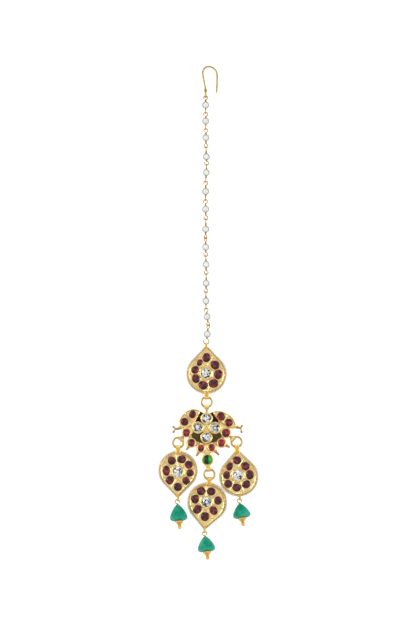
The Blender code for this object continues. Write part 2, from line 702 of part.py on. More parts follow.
def place_drop(name, bail_at, ring_end, root, neighbour=None):
    """A drop whose ring's bail sits at a point; returns its frame."""
    drop = DROPS[name]
    lean = lean_clear(drop, ring_end, bail_at, neighbour) if neighbour else drop.lean
    turn = Matrix.Rotation(math.radians(lean), 4, "Z")
    offset = turn @ Vector((0, drop_bail_place(drop, ring_end, BAIL_RADIUS), 0))
    frame = bpy.data.objects.new(f"{name}_drop_frame", None)
    parts.objects.link(frame)
    frame.parent = root
    spot = Vector((bail_at.x - offset.x, bail_at.y - offset.y, 0))
    frame.matrix_basis = Matrix.Translation(spot) @ turn
    drop_setting(drop, ring_end, frame)
    drop_border(drop, frame)
    return frame.matrix_basis


def bead_drop(name, bail_at, root):
    """A green bead on its pin, hung in a drop's small bail and lying on its rim."""
    bore = PIN_WIRE_DIA / 2 + BORE_GAP
    bead_top = BEAD_LOOP_DIA / 2 + BEAD_NECK
    lie = BEAD_LIES[name]
    length = BEAD_LENGTH * lie.length
    hang = BEAD_LOOP_RADIUS - BEAD_SLACK
    slid = math.radians(lie.lean - lie.loop)
    rises = []
    for share_out, down in BEAD_PROFILE:
        radius = share_out * BEAD_DIA / 2
        far = hang * math.cos(slid) + bead_top + down * length
        rises.append(math.atan2(radius, far) - math.asin(min(1, bail_at.z / math.hypot(radius, far))))
    rise = max(rises)
    way = heading(lie.lean - 90) * math.cos(rise) + Vector((0, 0, math.sin(rise)))
    side = way.cross(Vector((0, 0, 1))).normalized()
    frame = Matrix((side, -way, side.cross(-way))).transposed().to_4x4()
    frame.translation = bail_at + (way * math.cos(slid) + side * math.sin(slid)) * hang
    axis = frame @ Matrix.Rotation(math.radians(90), 4, "X")

    profile = [(bore, bead_top)]
    for share_out, down in BEAD_PROFILE:
        profile.append((share_out * BEAD_DIA / 2, bead_top + down * length))
    profile.append((bore, bead_top + length))
    bead = turned(f"{name}_bead", profile[::-1], BEAD_SIDES, "green_bead", root)
    bead.matrix_basis = axis

    cap_top = bead_top + length + SEAT_GAP
    cap_end = cap_top + CAP_LENGTH
    ball_radius = BALL_DIA / 2
    ball = cap_end + math.sqrt(ball_radius ** 2 - (BALL_NECK_DIA / 2) ** 2)
    bore_end = cap_top + CAP_BORE_DEPTH
    cap_profile = [(0, bore_end), (bore, bore_end), (bore, cap_top)]
    for share_out, down in CAP_PROFILE:
        cap_profile.append((share_out * CAP_DIA / 2, cap_top + down * CAP_LENGTH))
    cap_profile.append((BALL_NECK_DIA / 2, cap_end))
    for degrees in (-10, 25, 60):
        angle = math.radians(degrees)
        cap_profile.append((ball_radius * math.cos(angle), ball + ball_radius * math.sin(angle)))
    cap_profile.append((0, ball + ball_radius))
    cap = turned(f"{name}_bead_cap", cap_profile[::-1], PEARL_SIDES, "gold", root)
    cap.matrix_basis = axis

    loop = loop_points((0, 0, 0), BEAD_LOOP_RADIUS, 0, 1)[::-1]
    stem = [(0, -BEAD_LOOP_DIA / 2, 0), (0, -bead_top + LINK_GAP, 0),
            (0, -bead_top + LINK_GAP / 2, 0), (0, -bore_end + BORE_GAP, 0)]
    swell = [1] * len(loop) + [WRAP_TIP_DIA / PIN_WIRE_DIA, WRAP_DIA / PIN_WIRE_DIA, 1, 1]
    pin = wire(f"{name}_bead_pin", loop + stem, PIN_WIRE_DIA, "gold_wire", root, swell)
    pin.matrix_basis = frame


def share(across, along, height=0.0):
    """A point of the centre piece from its shares."""
    return Vector((across * CENTRE_HALF_WIDTH, along * CENTRE_HALF_WIDTH, height))


def centre_outline(points, steps):
    """A closed outline of the centre piece through points given as shares."""
    return smoothed([share(across, along).xy for across, along in points], steps, True)


def centre_rubies(stones, height):
    """Cabochons proud of a metal top."""
    made = []
    for stone in stones:
        size = (stone.width * CENTRE_HALF_WIDTH, stone.length * CENTRE_HALF_WIDTH, RUBY_HALF_HEIGHT)
        place = share(stone.across, stone.along, height + RUBY_RISE - RUBY_HALF_HEIGHT)
        made.append(dome(stone.name, place, size, stone.turn))
    return made


def collet_body(stone, radius, height):
    """The solid round of a collet, up from the back plate."""
    base = PLATE_HEIGHT / 3
    return cylinder(stone.name, share(stone.across, stone.along, (height + base) / 2), (0, 0, 1), radius,
                    height - base, ROUND_STEPS)


def pocket(stone, radius, height):
    """The cutter of a stone's seat, down from a collet's top."""
    return cylinder(stone.name, share(stone.across, stone.along, height), (0, 0, 1), radius + SEAT_GAP,
                    2 * POCKET_DEPTH, ROUND_STEPS)


def fork(stem, tips):
    """A forked wire end at a wing's outer corner."""
    height = WING_HEIGHT / 2
    return [
        wire("fork_stem", [share(*point, height) for point in stem], FORK_WIRE_DIA),
        wire("fork_tips", [share(*point, height) for point in tips], FORK_TIP_DIA),
    ]


def centre_posts():
    """Small balls on stems below the lowest collets."""
    made = []
    for post in POSTS:
        stone = next(each for each in COLLET_RUBIES if each.name == post.collet)
        height = RUBY_COLLET_HEIGHT / 2
        start, end = share(stone.across, stone.along, height), share(post.across, post.along, height)
        made.append(wire("post", [start, end], POST_WIRE_DIA))
        made.append(dome("granule", end, [GRANULE_DIA / 2] * 3, 0, 6, 4))
    return made


def centre_piece(root):
    """The centre setting with its rubies, forks, posts and bails, and its four diamonds and green stone.

    The pieces start at depths of their own inside the back plate, so that no two of their faces share a plane.
    """
    setting = plate("centre_setting", centre_outline(BACK_PLATE, 1), 0, PLATE_HEIGHT, "gold", root)
    diamond_collet = CENTRE_DIAMOND_DIA / 2 + SEAT_GAP + COLLET_WALL
    green_collet = GREEN_STONE_DIA / 2 + SEAT_GAP + COLLET_WALL
    green_at = share(GREEN_STONE.across, GREEN_STONE.along)
    green_rim = [green_at.xy - point for point in pear(green_collet, GREEN_TIP_REACH, COLLET_TIP_RADIUS,
                                                       ARC_STEP * 2)]
    joined = [
        plate("left_wing", centre_outline(LEFT_WING, 2), PLATE_HEIGHT / 4, WING_HEIGHT),
        plate("right_wing", centre_outline(RIGHT_WING, 2), PLATE_HEIGHT / 5, WING_HEIGHT * 1.01),
        plate("green_collet", green_rim, PLATE_HEIGHT / 6, RUBY_COLLET_HEIGHT * 1.02),
    ]
    cutters = []
    for stone in CENTRE_DIAMONDS:
        joined.append(collet_body(stone, diamond_collet, CENTRE_COLLET_HEIGHT))
        cutters.append(pocket(stone, CENTRE_DIAMOND_DIA / 2, CENTRE_COLLET_HEIGHT))
    for stone in COLLET_RUBIES:
        radius = max(stone.width, stone.length) * CENTRE_HALF_WIDTH + RUBY_COLLET_WALL
        joined.append(collet_body(stone, radius, RUBY_COLLET_HEIGHT))
    cutters.append(pocket(GREEN_STONE, GREEN_STONE_DIA / 2, RUBY_COLLET_HEIGHT))
    joined += centre_rubies(WING_RUBIES, WING_HEIGHT) + centre_rubies(COLLET_RUBIES, RUBY_COLLET_HEIGHT)
    joined += fork(LEFT_FORK, LEFT_FORK_TIPS) + fork(RIGHT_FORK, RIGHT_FORK_TIPS) + centre_posts()
    stones = CENTRE_DIAMONDS + COLLET_RUBIES + [GREEN_STONE]
    for place in BAILS.values():
        centre, way = share(place.across, place.along, BAIL_HEIGHT), heading(place.to_ring)
        body, hole = bail(centre, way.cross(Vector((0, 0, 1))), BAIL_BORE, BAIL_WALL, BAIL_LENGTH)
        stone = next(each for each in stones if each.name == place.collet)
        joined += [body, wire("neck", [centre, share(stone.across, stone.along, BAIL_HEIGHT)], NECK_DIA)]
        cutters.append(hole)
    combine(combine(setting, joined, "UNION"), cutters, "DIFFERENCE")

    for stone in CENTRE_DIAMONDS:
        seat = CENTRE_COLLET_HEIGHT + STONE_RISE - STONE_DEPTH
        diamond(f"centre_diamond_{stone.name}", share(stone.across, stone.along, seat),
                CENTRE_DIAMOND_DIA / 2, root)
    green_radius, bottom = GREEN_STONE_DIA / 2, RUBY_COLLET_HEIGHT + STONE_RISE - STONE_DEPTH
    profile = []
    for share_out, up in GREEN_PROFILE:
        profile.append((share_out * green_radius, RUBY_COLLET_HEIGHT + up * GREEN_STONE_RISE))
    profile += [(green_radius, bottom), (0, bottom)]
    green = turned("centre_green_stone", profile, ROUND_STEPS, "green_stone", root)
    green.location = green_at


def ring_and_next(name, root):
    """A jump ring in one of the centre piece's bails; returns where the drop's bail goes."""
    place = BAILS[name]
    reach = RING_RADIUS - RING_SLACK
    centre = share(place.across, place.along, BAIL_HEIGHT) + heading(place.to_ring) * reach
    jump_ring(f"ring_{name}", centre, root)
    return centre + heading(place.onward) * reach


def settle(root):
    """Move the whole jewel so that its origin is the middle of its footprint."""
    bpy.context.view_layer.update()
    corners = []
    for item in parts.objects:
        if item.type == "MESH":
            corners += [item.matrix_world @ vertex.co for vertex in item.data.vertices]
    low = Vector([min(corner[k] for corner in corners) for k in range(3)])
    high = Vector([max(corner[k] for corner in corners) for k in range(3)])
    root.location = -Vector(((low.x + high.x) / 2, (low.y + high.y) / 2, low.z))


def build():
    """The whole jewel."""
    clear_scene()
    bpy.context.scene.collection.children.link(parts)
    make_materials()
    root = bpy.data.objects.new("jewel_frame", None)
    parts.objects.link(root)
    centre_piece(root)
    upper = place_drop("upper", ring_and_next("top", root), "round", root)
    end_bail = upper @ Vector((0, drop_bail_place(DROPS["upper"], "tip", SMALL_BAIL_RADIUS), CHAIN_HEIGHT))
    end_slack = bail_fit(END_LOOP_RADIUS, SMALL_BAIL_LENGTH)
    hook(chain(end_bail + Vector((0, END_LOOP_RADIUS - end_slack, 0)), root), root)
    middle = None
    for ring, name, ring_end, bead_end in (("bottom", "middle", "round", "tip"),
                                           ("left", "left", "round", "tip"),
                                           ("right", "right", "tip", "round")):
        frame = place_drop(name, ring_and_next(ring, root), ring_end, root, middle)
        along = drop_bail_place(DROPS[name], bead_end, SMALL_BAIL_RADIUS)
        bead_drop(name, frame @ Vector((0, along, CHAIN_HEIGHT)), root)
        middle = middle or (frame.translation, drop_reach(DROPS[name], "round"))
    settle(root)


build()
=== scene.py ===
"""A maang tikka lying face up on a pale table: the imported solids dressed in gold, pearls and stones.

Lengths in the classes are in millimetres and angles in degrees. Pieces are built in the CAD's frame.
X runs to the right, Y up the jewel from its green beads to its hook, and Z towards the camera.
"""
import logging
import math
import random
from collections.abc import Sequence
from dataclasses import dataclass, field
from enum import Enum
from functools import cache

import bmesh
import bpy
import numpy as np
from mathutils import Matrix, Vector


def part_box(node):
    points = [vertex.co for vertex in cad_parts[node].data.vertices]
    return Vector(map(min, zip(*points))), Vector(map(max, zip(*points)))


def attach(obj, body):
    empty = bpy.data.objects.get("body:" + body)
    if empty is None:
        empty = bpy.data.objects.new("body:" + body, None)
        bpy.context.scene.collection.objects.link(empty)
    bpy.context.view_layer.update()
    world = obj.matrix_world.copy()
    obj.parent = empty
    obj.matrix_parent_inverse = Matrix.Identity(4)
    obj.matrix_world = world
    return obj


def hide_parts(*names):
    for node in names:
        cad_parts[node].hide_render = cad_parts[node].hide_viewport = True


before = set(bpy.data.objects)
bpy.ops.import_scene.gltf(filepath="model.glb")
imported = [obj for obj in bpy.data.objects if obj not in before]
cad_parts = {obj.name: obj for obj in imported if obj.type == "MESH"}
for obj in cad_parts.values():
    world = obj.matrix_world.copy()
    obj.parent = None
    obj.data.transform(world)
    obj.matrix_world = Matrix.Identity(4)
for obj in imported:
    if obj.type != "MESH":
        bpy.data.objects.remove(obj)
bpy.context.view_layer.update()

MM = 0.001
BODY = "root"

Colour = tuple[float, float, float]
Plan = tuple[float, float]
Stone = tuple[float, float, float, float, float]
Value = float | Sequence[float]
Ring = Sequence[Sequence[float]]

RIGHT, UP, OUT = Vector((1, 0, 0)), Vector((0, 1, 0)), Vector((0, 0, 1))

# A wire's open loop: its steps, and how far it goes round
LOOP_STEPS = 26
LOOP_SWEEP = math.radians(318)

# A bezel's rubbed-over rim from outside in: share of its wall, height over its top
COLLET_RIM = ((0.0, -0.3), (0.12, -0.1), (0.38, 0.0), (0.68, -0.02), (0.92, -0.12), (1.0, -0.28))

# A drop's straps: share of the way out, fullness and sink of each section, then a section's own corners
STRAP_RUN = ((0.0, 1.1, 0.12), (0.06, 1.3, 0.0), (0.35, 1.2, 0.0), (0.7, 1.0, 0.0), (0.96, 0.96, 0.0),
             (1.0, 0.8, 0.12))
STRAP_SECTION = ((-1, 0.3), (-0.8, 0), (0.8, 0), (1, 0.3), (1, 0.7), (0.75, 1), (-0.75, 1), (-1, 0.7))

log = logging.getLogger("maang_tikka")


class End(Enum):
    """The end of a drop that hangs on a jump ring."""

    TIP = "tip"
    ROUND = "round"


class Level(Enum):
    """How a wire loop is turned from lying flat, in degrees."""

    FLAT = 0
    HALF = 45
    BACK = -45
    EDGE = 90


class Outlet:
    """A node's output that adds Math nodes when Python's operators meet it."""

    def __init__(self, nodes: "Nodes", socket: bpy.types.NodeSocket) -> None:
        """Keep the tree and the socket."""
        self.nodes = nodes
        self.socket = socket

    def _math(self, operation: str, *values: "Outlet | float") -> "Outlet":
        """One Math node on these values."""
        return self.nodes.node("ShaderNodeMath", {"operation": operation}, dict(enumerate(values)))

    def __add__(self, other: "Outlet | float") -> "Outlet":
        """Sum of two values."""
        return self._math("ADD", self, other)

    def __sub__(self, other: "Outlet | float") -> "Outlet":
        """Difference of two values."""
        return self._math("SUBTRACT", self, other)

    def __rsub__(self, other: float) -> "Outlet":
        """A number less this value."""
        return self._math("SUBTRACT", other, self)

    def __mul__(self, other: "Outlet | float") -> "Outlet":
        """Product of two values."""
        return self._math("MULTIPLY", self, other)

    def limited(self) -> "Outlet":
        """This value held between 0 and 1."""
        return self.nodes.node("ShaderNodeClamp", {}, {0: self})

    def above(self, level: float, slope: float) -> "Outlet":
        """How far this value stands above a level, times a slope, held between 0 and 1."""
        return ((self - level) * slope).limited()


class Nodes:
    """A node tree that is written as calls."""

    def __init__(self, tree: bpy.types.NodeTree) -> None:
        """Keep the tree."""
        self.tree = tree

    def node(self, kind: str, settings: dict | None = None, inputs: dict | None = None,
             output: int | str = 0) -> Outlet:
        """Add one node.

        Args:
            kind: the node's type.
            settings: its properties, which are set first.
            inputs: values or outlets by socket name or number.
            output: the socket that is returned.

        Returns:
            The outlet of that socket.
        """
        made = self.tree.nodes.new(kind)
        for key, value in (settings or {}).items():
            setattr(made, key, value)
        for key, value in (inputs or {}).items():
            self.feed(made.inputs[key], value)
        return Outlet(self, made.outputs[output])

    def feed(self, socket: bpy.types.NodeSocket, value: "Outlet | Value") -> None:
        """Set a socket's value, or link an outlet to it."""
        if isinstance(value, Outlet):
            self.tree.links.new(value.socket, socket)
        else:
            socket.default_value = value

    def mixed(self, share: Outlet, first: "Outlet | Colour", second: "Outlet | Colour") -> Outlet:
        """A colour between two, by a share of the second."""
        ends = [end if isinstance(end, Outlet) else (*end, 1.0) for end in (first, second)]
        return self.node("ShaderNodeMix", {"data_type": "RGBA"}, {0: share, 6: ends[0], 7: ends[1]}, 2)

    def toned(self, value: Outlet, *stops: tuple[float, Colour]) -> Outlet:
        """The colour at a value of a ramp with these stops."""
        tones = self.node("ShaderNodeValToRGB", {}, {0: value})
        ramp = tones.socket.node.color_ramp
        while len(ramp.elements) < len(stops):
            ramp.elements.new(1.0)
        for element, (place, colour) in zip(ramp.elements, stops):
            element.position = place
            element.color = (*colour, 1.0)
        return tones

    def attribute(self, name: str) -> Outlet:
        """A value that the mesh carries under this name."""
        return self.node("ShaderNodeAttribute", {"attribute_name": name}, {}, "Fac")

    def speckle(self, grain: float, detail: float = 2.0) -> Outlet:
        """Noise with grains of this size in millimetres, on the object's own coordinates."""
        place = self.node("ShaderNodeTexCoord", output="Object")
        return self.node("ShaderNodeTexNoise", {},
                         {"Vector": place, "Scale": 1 / (grain * MM), "Detail": detail, "Roughness": 0.55})

    def relief(self, height: Outlet, depth: float) -> Outlet:
        """A normal that is bumped to a depth in millimetres."""
        return self.node("ShaderNodeBump", {}, {"Strength": 1.0, "Distance": depth * MM, "Height": height})


@dataclass(frozen=True)
class Finish:
    """What every finish has: a name, a slot of the record and one material."""

    name: str
    slot: str

    @cache
    def material(self) -> bpy.types.Material:
        """The finish's material, made once."""
        made = bpy.data.materials.new(self.name)
        made.use_nodes = True
        nodes = Nodes(made.node_tree)
        shader = made.node_tree.nodes["Principled BSDF"].inputs
        for socket, value in self.looks(nodes).items():
            nodes.feed(shader[socket], value)
        return made

    def looks(self, nodes: Nodes) -> dict[str, "Outlet | Value"]:
        """The shader's values and patterns, by socket."""
        raise NotImplementedError


@dataclass(frozen=True)
class Gold(Finish):
    """Hand-worked gold: paler where it is rubbed, deeper in its hollows by painted shade, with a fine dented
    skin.
    """

    light: Colour
    deep: Colour
    roughness: float = 0.24
    patch: float = 1.9
    grain: float = 0.35
    dent: float = 0.035
    # how far painted shade pulls the gold towards its deep colour in the hollows
    depth: float = 0.18
    contrast: float = 1.5
    tint: float = 0.15
    scuff: float = 0.22

    def looks(self, nodes: Nodes) -> dict[str, "Outlet | Value"]:
        """Tone by patches and by painted shade in the hollows, gloss by grains."""
        patches, grains = nodes.speckle(self.patch), nodes.speckle(self.grain)
        # the mesh attribute adds painted shade in the hollows on top of the random patches
        tone = (nodes.attribute("painted_shade_and_pale_band") * self.depth + (patches - 0.5) * self.contrast + self.tint).limited()
        return {"Base Color": nodes.mixed(tone, self.light, self.deep), "Metallic": 1.0,
                "Roughness": grains * self.scuff + (self.roughness - self.scuff / 2),
                "Normal": nodes.relief(patches + grains * 0.3, self.dent)}


@dataclass(frozen=True)
class DarkMetal(Finish):
    """The unpolished ground behind the collets: dark, rough and worn lighter in grains."""

    dark: Colour
    lit: Colour
    grain: float = 0.45
    dent: float = 0.08

    def looks(self, nodes: Nodes) -> dict[str, "Outlet | Value"]:
        """A rough dark skin with worn lighter grains."""
        grains = nodes.speckle(self.grain, 4.0)
        tone = nodes.mixed(grains.above(0.45, 3.0), self.dark, self.lit)
        return {"Base Color": tone, "Metallic": 0.6, "Roughness": grains * 0.3 + 0.4,
                "Normal": nodes.relief(grains, self.dent)}


@dataclass(frozen=True)
class PearlSkin(Finish):
    """Pearl: milky with faint cooler clouds, a greyer rim of painted shade, painted light from within and a
    soft gloss.
    """

    milk: Colour
    cloud: Colour
    # the rim colour is painted shade, laid on where the surface turns away from the view
    rim: Colour
    cloud_size: float
    # painted light: the pearl gives off a little of its own colour, as if lit from within
    painted_glow: float = 0.13
    roughness: float = 0.2
    scuff: float = 0.2
    dent: float = 0.02

    def looks(self, nodes: Nodes) -> dict[str, "Outlet | Value"]:
        """Clouded colour with painted shade at the rim and painted light from within, under a coat."""
        clouds = nodes.speckle(self.cloud_size)
        facing = nodes.node("ShaderNodeLayerWeight", {}, {"Blend": 0.5}, "Facing")
        milk = nodes.mixed(clouds.above(0.35, 2.0), self.milk, self.cloud)
        # painted shade: greyer where the surface turns away from the view
        tone = nodes.mixed(facing.above(0.1, 2.0), milk, self.rim)
        # the emission is painted light that whitens the pearl
        return {"Base Color": tone, "Emission Color": tone, "Emission Strength": self.painted_glow,
                "Roughness": clouds * self.scuff + (self.roughness - self.scuff / 2),
                "Subsurface Weight": 0.12, "Subsurface Radius": (1.0, 0.95, 0.85),
                "Subsurface Scale": 0.8 * MM, "Coat Weight": 0.6, "Coat Roughness": 0.08,
                "Normal": nodes.relief(clouds, self.dent)}


@dataclass(frozen=True)
class Cabochon(Finish):
    """A polished coloured stone: three tones in patches, darkened by painted shade where its mesh attribute
    says.
    """

    dark: Colour
    body: Colour
    clear: Colour
    patch: float
    # how strongly painted shade darkens the stone
    shadow: float = 0.05

    def looks(self, nodes: Nodes) -> dict[str, "Outlet | Value"]:
        """Three tones of the stone's colour, less painted shade, under a hard polish."""
        value = nodes.speckle(self.patch, 1.0) - nodes.attribute("painted_shade_and_pale_band") * self.shadow
        tones = nodes.toned(value, (0.38, self.dark), (0.5, self.body), (0.66, self.clear))
        return {"Base Color": tones, "Roughness": 0.14, "IOR": 1.5}


@dataclass(frozen=True)
class CutStone(Finish):
    """A colourless cut stone: each facet has its own grey, a painted reflection, from its shade attribute."""

    # the greys of the painted reflections, from black to white
    black: Colour
    grey: Colour
    white: Colour

    def looks(self, nodes: Nodes) -> dict[str, "Outlet | Value"]:
        """Facet tones of painted reflection under a clear polish."""
        shade = nodes.attribute("shade")
        tones = nodes.toned(shade, (0.0, self.black), (0.45, self.grey), (0.8, self.white))
        return {"Base Color": tones, "Metallic": shade * -0.35 + 0.5, "Roughness": 0.06, "IOR": 1.7}


@dataclass(frozen=True)
class BeadStone(Finish):
    """Opaque polished green stone with lighter cloudy veins, paler in a band near its lower end."""

    body: Colour
    vein: Colour
    deep: Colour
    cloud: float = 3.4
    fleck: float = 0.9
    dent: float = 0.06

    def looks(self, nodes: Nodes) -> dict[str, "Outlet | Value"]:
        """Clouds, veins and a paler band."""
        clouds, flecks = nodes.speckle(self.cloud, 3.0), nodes.speckle(self.fleck, 4.0)
        # the mesh attribute makes the bead paler in a band near its lower end
        pale = ((clouds - 0.45) * 3.6 + (flecks - 0.5) * 1.4 + nodes.attribute("painted_shade_and_pale_band") * 0.6).limited()
        body = nodes.mixed(((0.45 - clouds) * 3.0).limited(), self.body, self.deep)
        return {"Base Color": nodes.mixed(pale * 0.8, body, self.vein), "Roughness": flecks * 0.25 + 0.36,
                "IOR": 1.33, "Specular IOR Level": 0.35,
                "Normal": nodes.relief(clouds + flecks * 0.3, self.dent)}


PALE_GOLD = Gold("pale_gold", "gold", (1.0, 0.80, 0.38), (0.89, 0.60, 0.19), 0.24)
RIM_GOLD = Gold("rim_gold", "gold", (1.0, 0.77, 0.33), (0.84, 0.54, 0.15), 0.26)
WALL_GOLD = Gold("wall_gold", "gold", (1.0, 0.73, 0.32), (0.90, 0.57, 0.19), 0.3)
TAB_GOLD = Gold("tab_gold", "gold", (0.92, 0.52, 0.10), (0.74, 0.37, 0.05), 0.3)
BACK_GOLD = Gold("back_gold", "gold", (0.84, 0.58, 0.22), (0.68, 0.42, 0.13), 0.38, 2.6, 0.5, 0.05)
RING_GOLD = Gold("ring_gold", "gold_wire", (0.64, 0.48, 0.20), (0.47, 0.33, 0.12), 0.36, 1.4, 0.3, 0.03)
WIRE_GOLD = Gold("wire_gold", "gold_wire", (0.54, 0.35, 0.04), (0.38, 0.23, 0.02), 0.36, 1.2, 0.3, 0.02)
HOOK_GOLD = Gold("hook_gold", "gold_wire", (0.58, 0.46, 0.18), (0.42, 0.31, 0.09), 0.32, 2.2, 0.3, 0.02)
BRONZE = Gold("dull_gold", "gold", (0.60, 0.40, 0.16), (0.27, 0.17, 0.06), 0.4, 0.9)
CAP_GOLD = Gold("cap_gold", "gold", (0.97, 0.62, 0.19), (0.78, 0.44, 0.09), 0.38, 0.7, 0.25, 0.09)
BLACK_GROUND = DarkMetal("black_ground", "gold", (0.012, 0.008, 0.004), (0.09, 0.055, 0.02))
OLIVE_GROUND = DarkMetal("olive_ground", "gold", (0.075, 0.052, 0.018), (0.26, 0.19, 0.08))
# the third colour of each pearl finish is its painted rim shade
PEARL = PearlSkin("milky_pearl", "pearl", (0.93, 0.93, 0.88), (0.76, 0.78, 0.71), (0.17, 0.19, 0.13), 1.5)
# the seed pearls' last number turns their painted light off
SEED_PEARL = PearlSkin("tiny_pearl", "seed_pearl",
                       (0.93, 0.89, 0.79), (0.80, 0.74, 0.61), (0.38, 0.31, 0.19), 0.8, 0.0)
# the garnets and the wing rubies take painted shade towards each stone's middle
GARNET = Cabochon("garnet", "ruby",
                  (0.042, 0.006, 0.014), (0.145, 0.010, 0.024), (0.40, 0.030, 0.040), 1.6, 0.07)
RUBY = Cabochon("bright_ruby", "ruby",
                (0.050, 0.004, 0.013), (0.20, 0.007, 0.025), (0.60, 0.018, 0.052), 1.5)
# the emerald's strong painted shade is a dark painted reflection in a band across it
EMERALD = Cabochon("emerald", "green_stone",
                   (0.0, 0.030, 0.004), (0.008, 0.40, 0.036), (0.03, 0.66, 0.09), 3.0, 0.35)
# the diamonds' facet greys are painted reflections
DIAMOND = CutStone("cut_diamond", "diamond", (0.015, 0.018, 0.024), (0.36, 0.39, 0.42), (0.96, 0.97, 1.0))
GREEN_BEAD = BeadStone("teal_stone", "green_bead",
                       (0.0, 0.34, 0.20), (0.07, 0.53, 0.36), (0.0, 0.24, 0.14))


def heading(degrees: float) -> Vector:
    """The direction in the plan at an angle from +X."""
    return Vector((math.cos(math.radians(degrees)), math.sin(math.radians(degrees)), 0))


def centre_of(node: str) -> Vector:
    """The middle of a CAD node's box, in millimetres."""
    low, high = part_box(node)
    return (low + high) / 2 / MM


def smoothed(points: Sequence[Sequence[float]], steps: int, closed: bool = False) -> list[Vector]:
    """Points along a smooth curve through the given ones.

    Args:
        points: the curve's knots.
        steps: new points from each knot to the next.
        closed: whether the curve runs back to its first knot.

    Returns:
        The points of the curve.
    """
    knots = [Vector(point) for point in points]
    last = len(knots) - 1
    curve = []
    for i in range(len(knots) if closed else last):
        if closed:
            a, b, c, d = (knots[(i + k) % len(knots)] for k in (-1, 0, 1, 2))
        else:
            a, b, c, d = (knots[min(max(i + k, 0), last)] for k in (-1, 0, 1, 2))
        for k in range(steps):
            t = k / steps
            curve.append(b + (c - a) * t / 2 + (a * 2 - b * 5 + c * 4 - d) * t * t / 2
                         + (b * 3 - a - c * 3 + d) * t * t * t / 2)
    return curve if closed else curve + [knots[-1]]


def rounded(line: Sequence[Plan]) -> list[Plan]:
    """An open line with its corners cut off, so that it stays inside the one given."""
    cut = [line[0]]
    for (ax, ay), (bx, by) in zip(line, line[1:]):
        cut += [(ax * (1 - share) + bx * share, ay * (1 - share) + by * share) for share in (0.25, 0.75)]
    return cut + [line[-1]]


def circle(radius: float, count: int, shift: float = 0.0) -> list[Plan]:
    """Even points round a circle, the first one a share of a step past +X."""
    angles = [math.tau * (i + shift) / count for i in range(count)]
    return [(radius * math.cos(angle), radius * math.sin(angle)) for angle in angles]


def dome(radius: float, base: float, rise: float, degrees: Sequence[float], fullness: float) -> list[Plan]:
    """A cabochon's outline from its girdle up.

    Args:
        radius: at the girdle.
        base: the girdle's height.
        rise: from there to the top.
        degrees: where the outline has its points, as on a quarter circle.
        fullness: below 1 its shoulders are fuller than a circle's.

    Returns:
        Radius and height pairs that end at the top.
    """
    line = [(radius * math.cos(angle) ** fullness, base + rise * math.sin(angle))
            for angle in map(math.radians, degrees)]
    return line + [(0.0, base + rise)]


def coil(run: Plan, radii: Plan, turns: float, steps: int) -> list[Vector]:
    """A coil about Y.

    Args:
        run: where along Y it starts and ends.
        radii: its radius at either end.
        turns: how often it goes round.
        steps: how many pieces it is drawn in.

    Returns:
        The coil's points.
    """
    points = []
    for share in shares(steps + 1):
        angle = math.tau * turns * share
        out, along = (ends[0] + (ends[1] - ends[0]) * share for ends in (radii, run))
        points.append(Vector((out * math.cos(angle), along, out * math.sin(angle))))
    return points


def plain(low: float, high: float) -> list[Plan]:
    """The steps of a plain plate between two heights."""
    return [(0.0, low), (1.0, low), (1.0, high), (0.0, high)]


def shares(count: int) -> list[float]:
    """Even shares from 0 to 1."""
    return [k / (count - 1) for k in range(count)]


def linked(name: str, data: bpy.types.ID) -> bpy.types.Object:
    """A new object with this data, in the scene."""
    made = bpy.data.objects.new(name, data)
    bpy.context.scene.collection.objects.link(made)
    return made


def deliver(piece: bpy.types.Object, nodes: Sequence[str]) -> None:
    """Let a finished piece ride on the jewel and stand for its CAD nodes.

    Args:
        piece: the object, with its place in its mesh.
        nodes: the CAD nodes that it replaces.
    """
    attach(piece, BODY)
    if nodes:
        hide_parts(*nodes)
    log.info("%s: %d faces, stands for %s", piece.name, len(piece.data.polygons),
             list(nodes) or "no node")


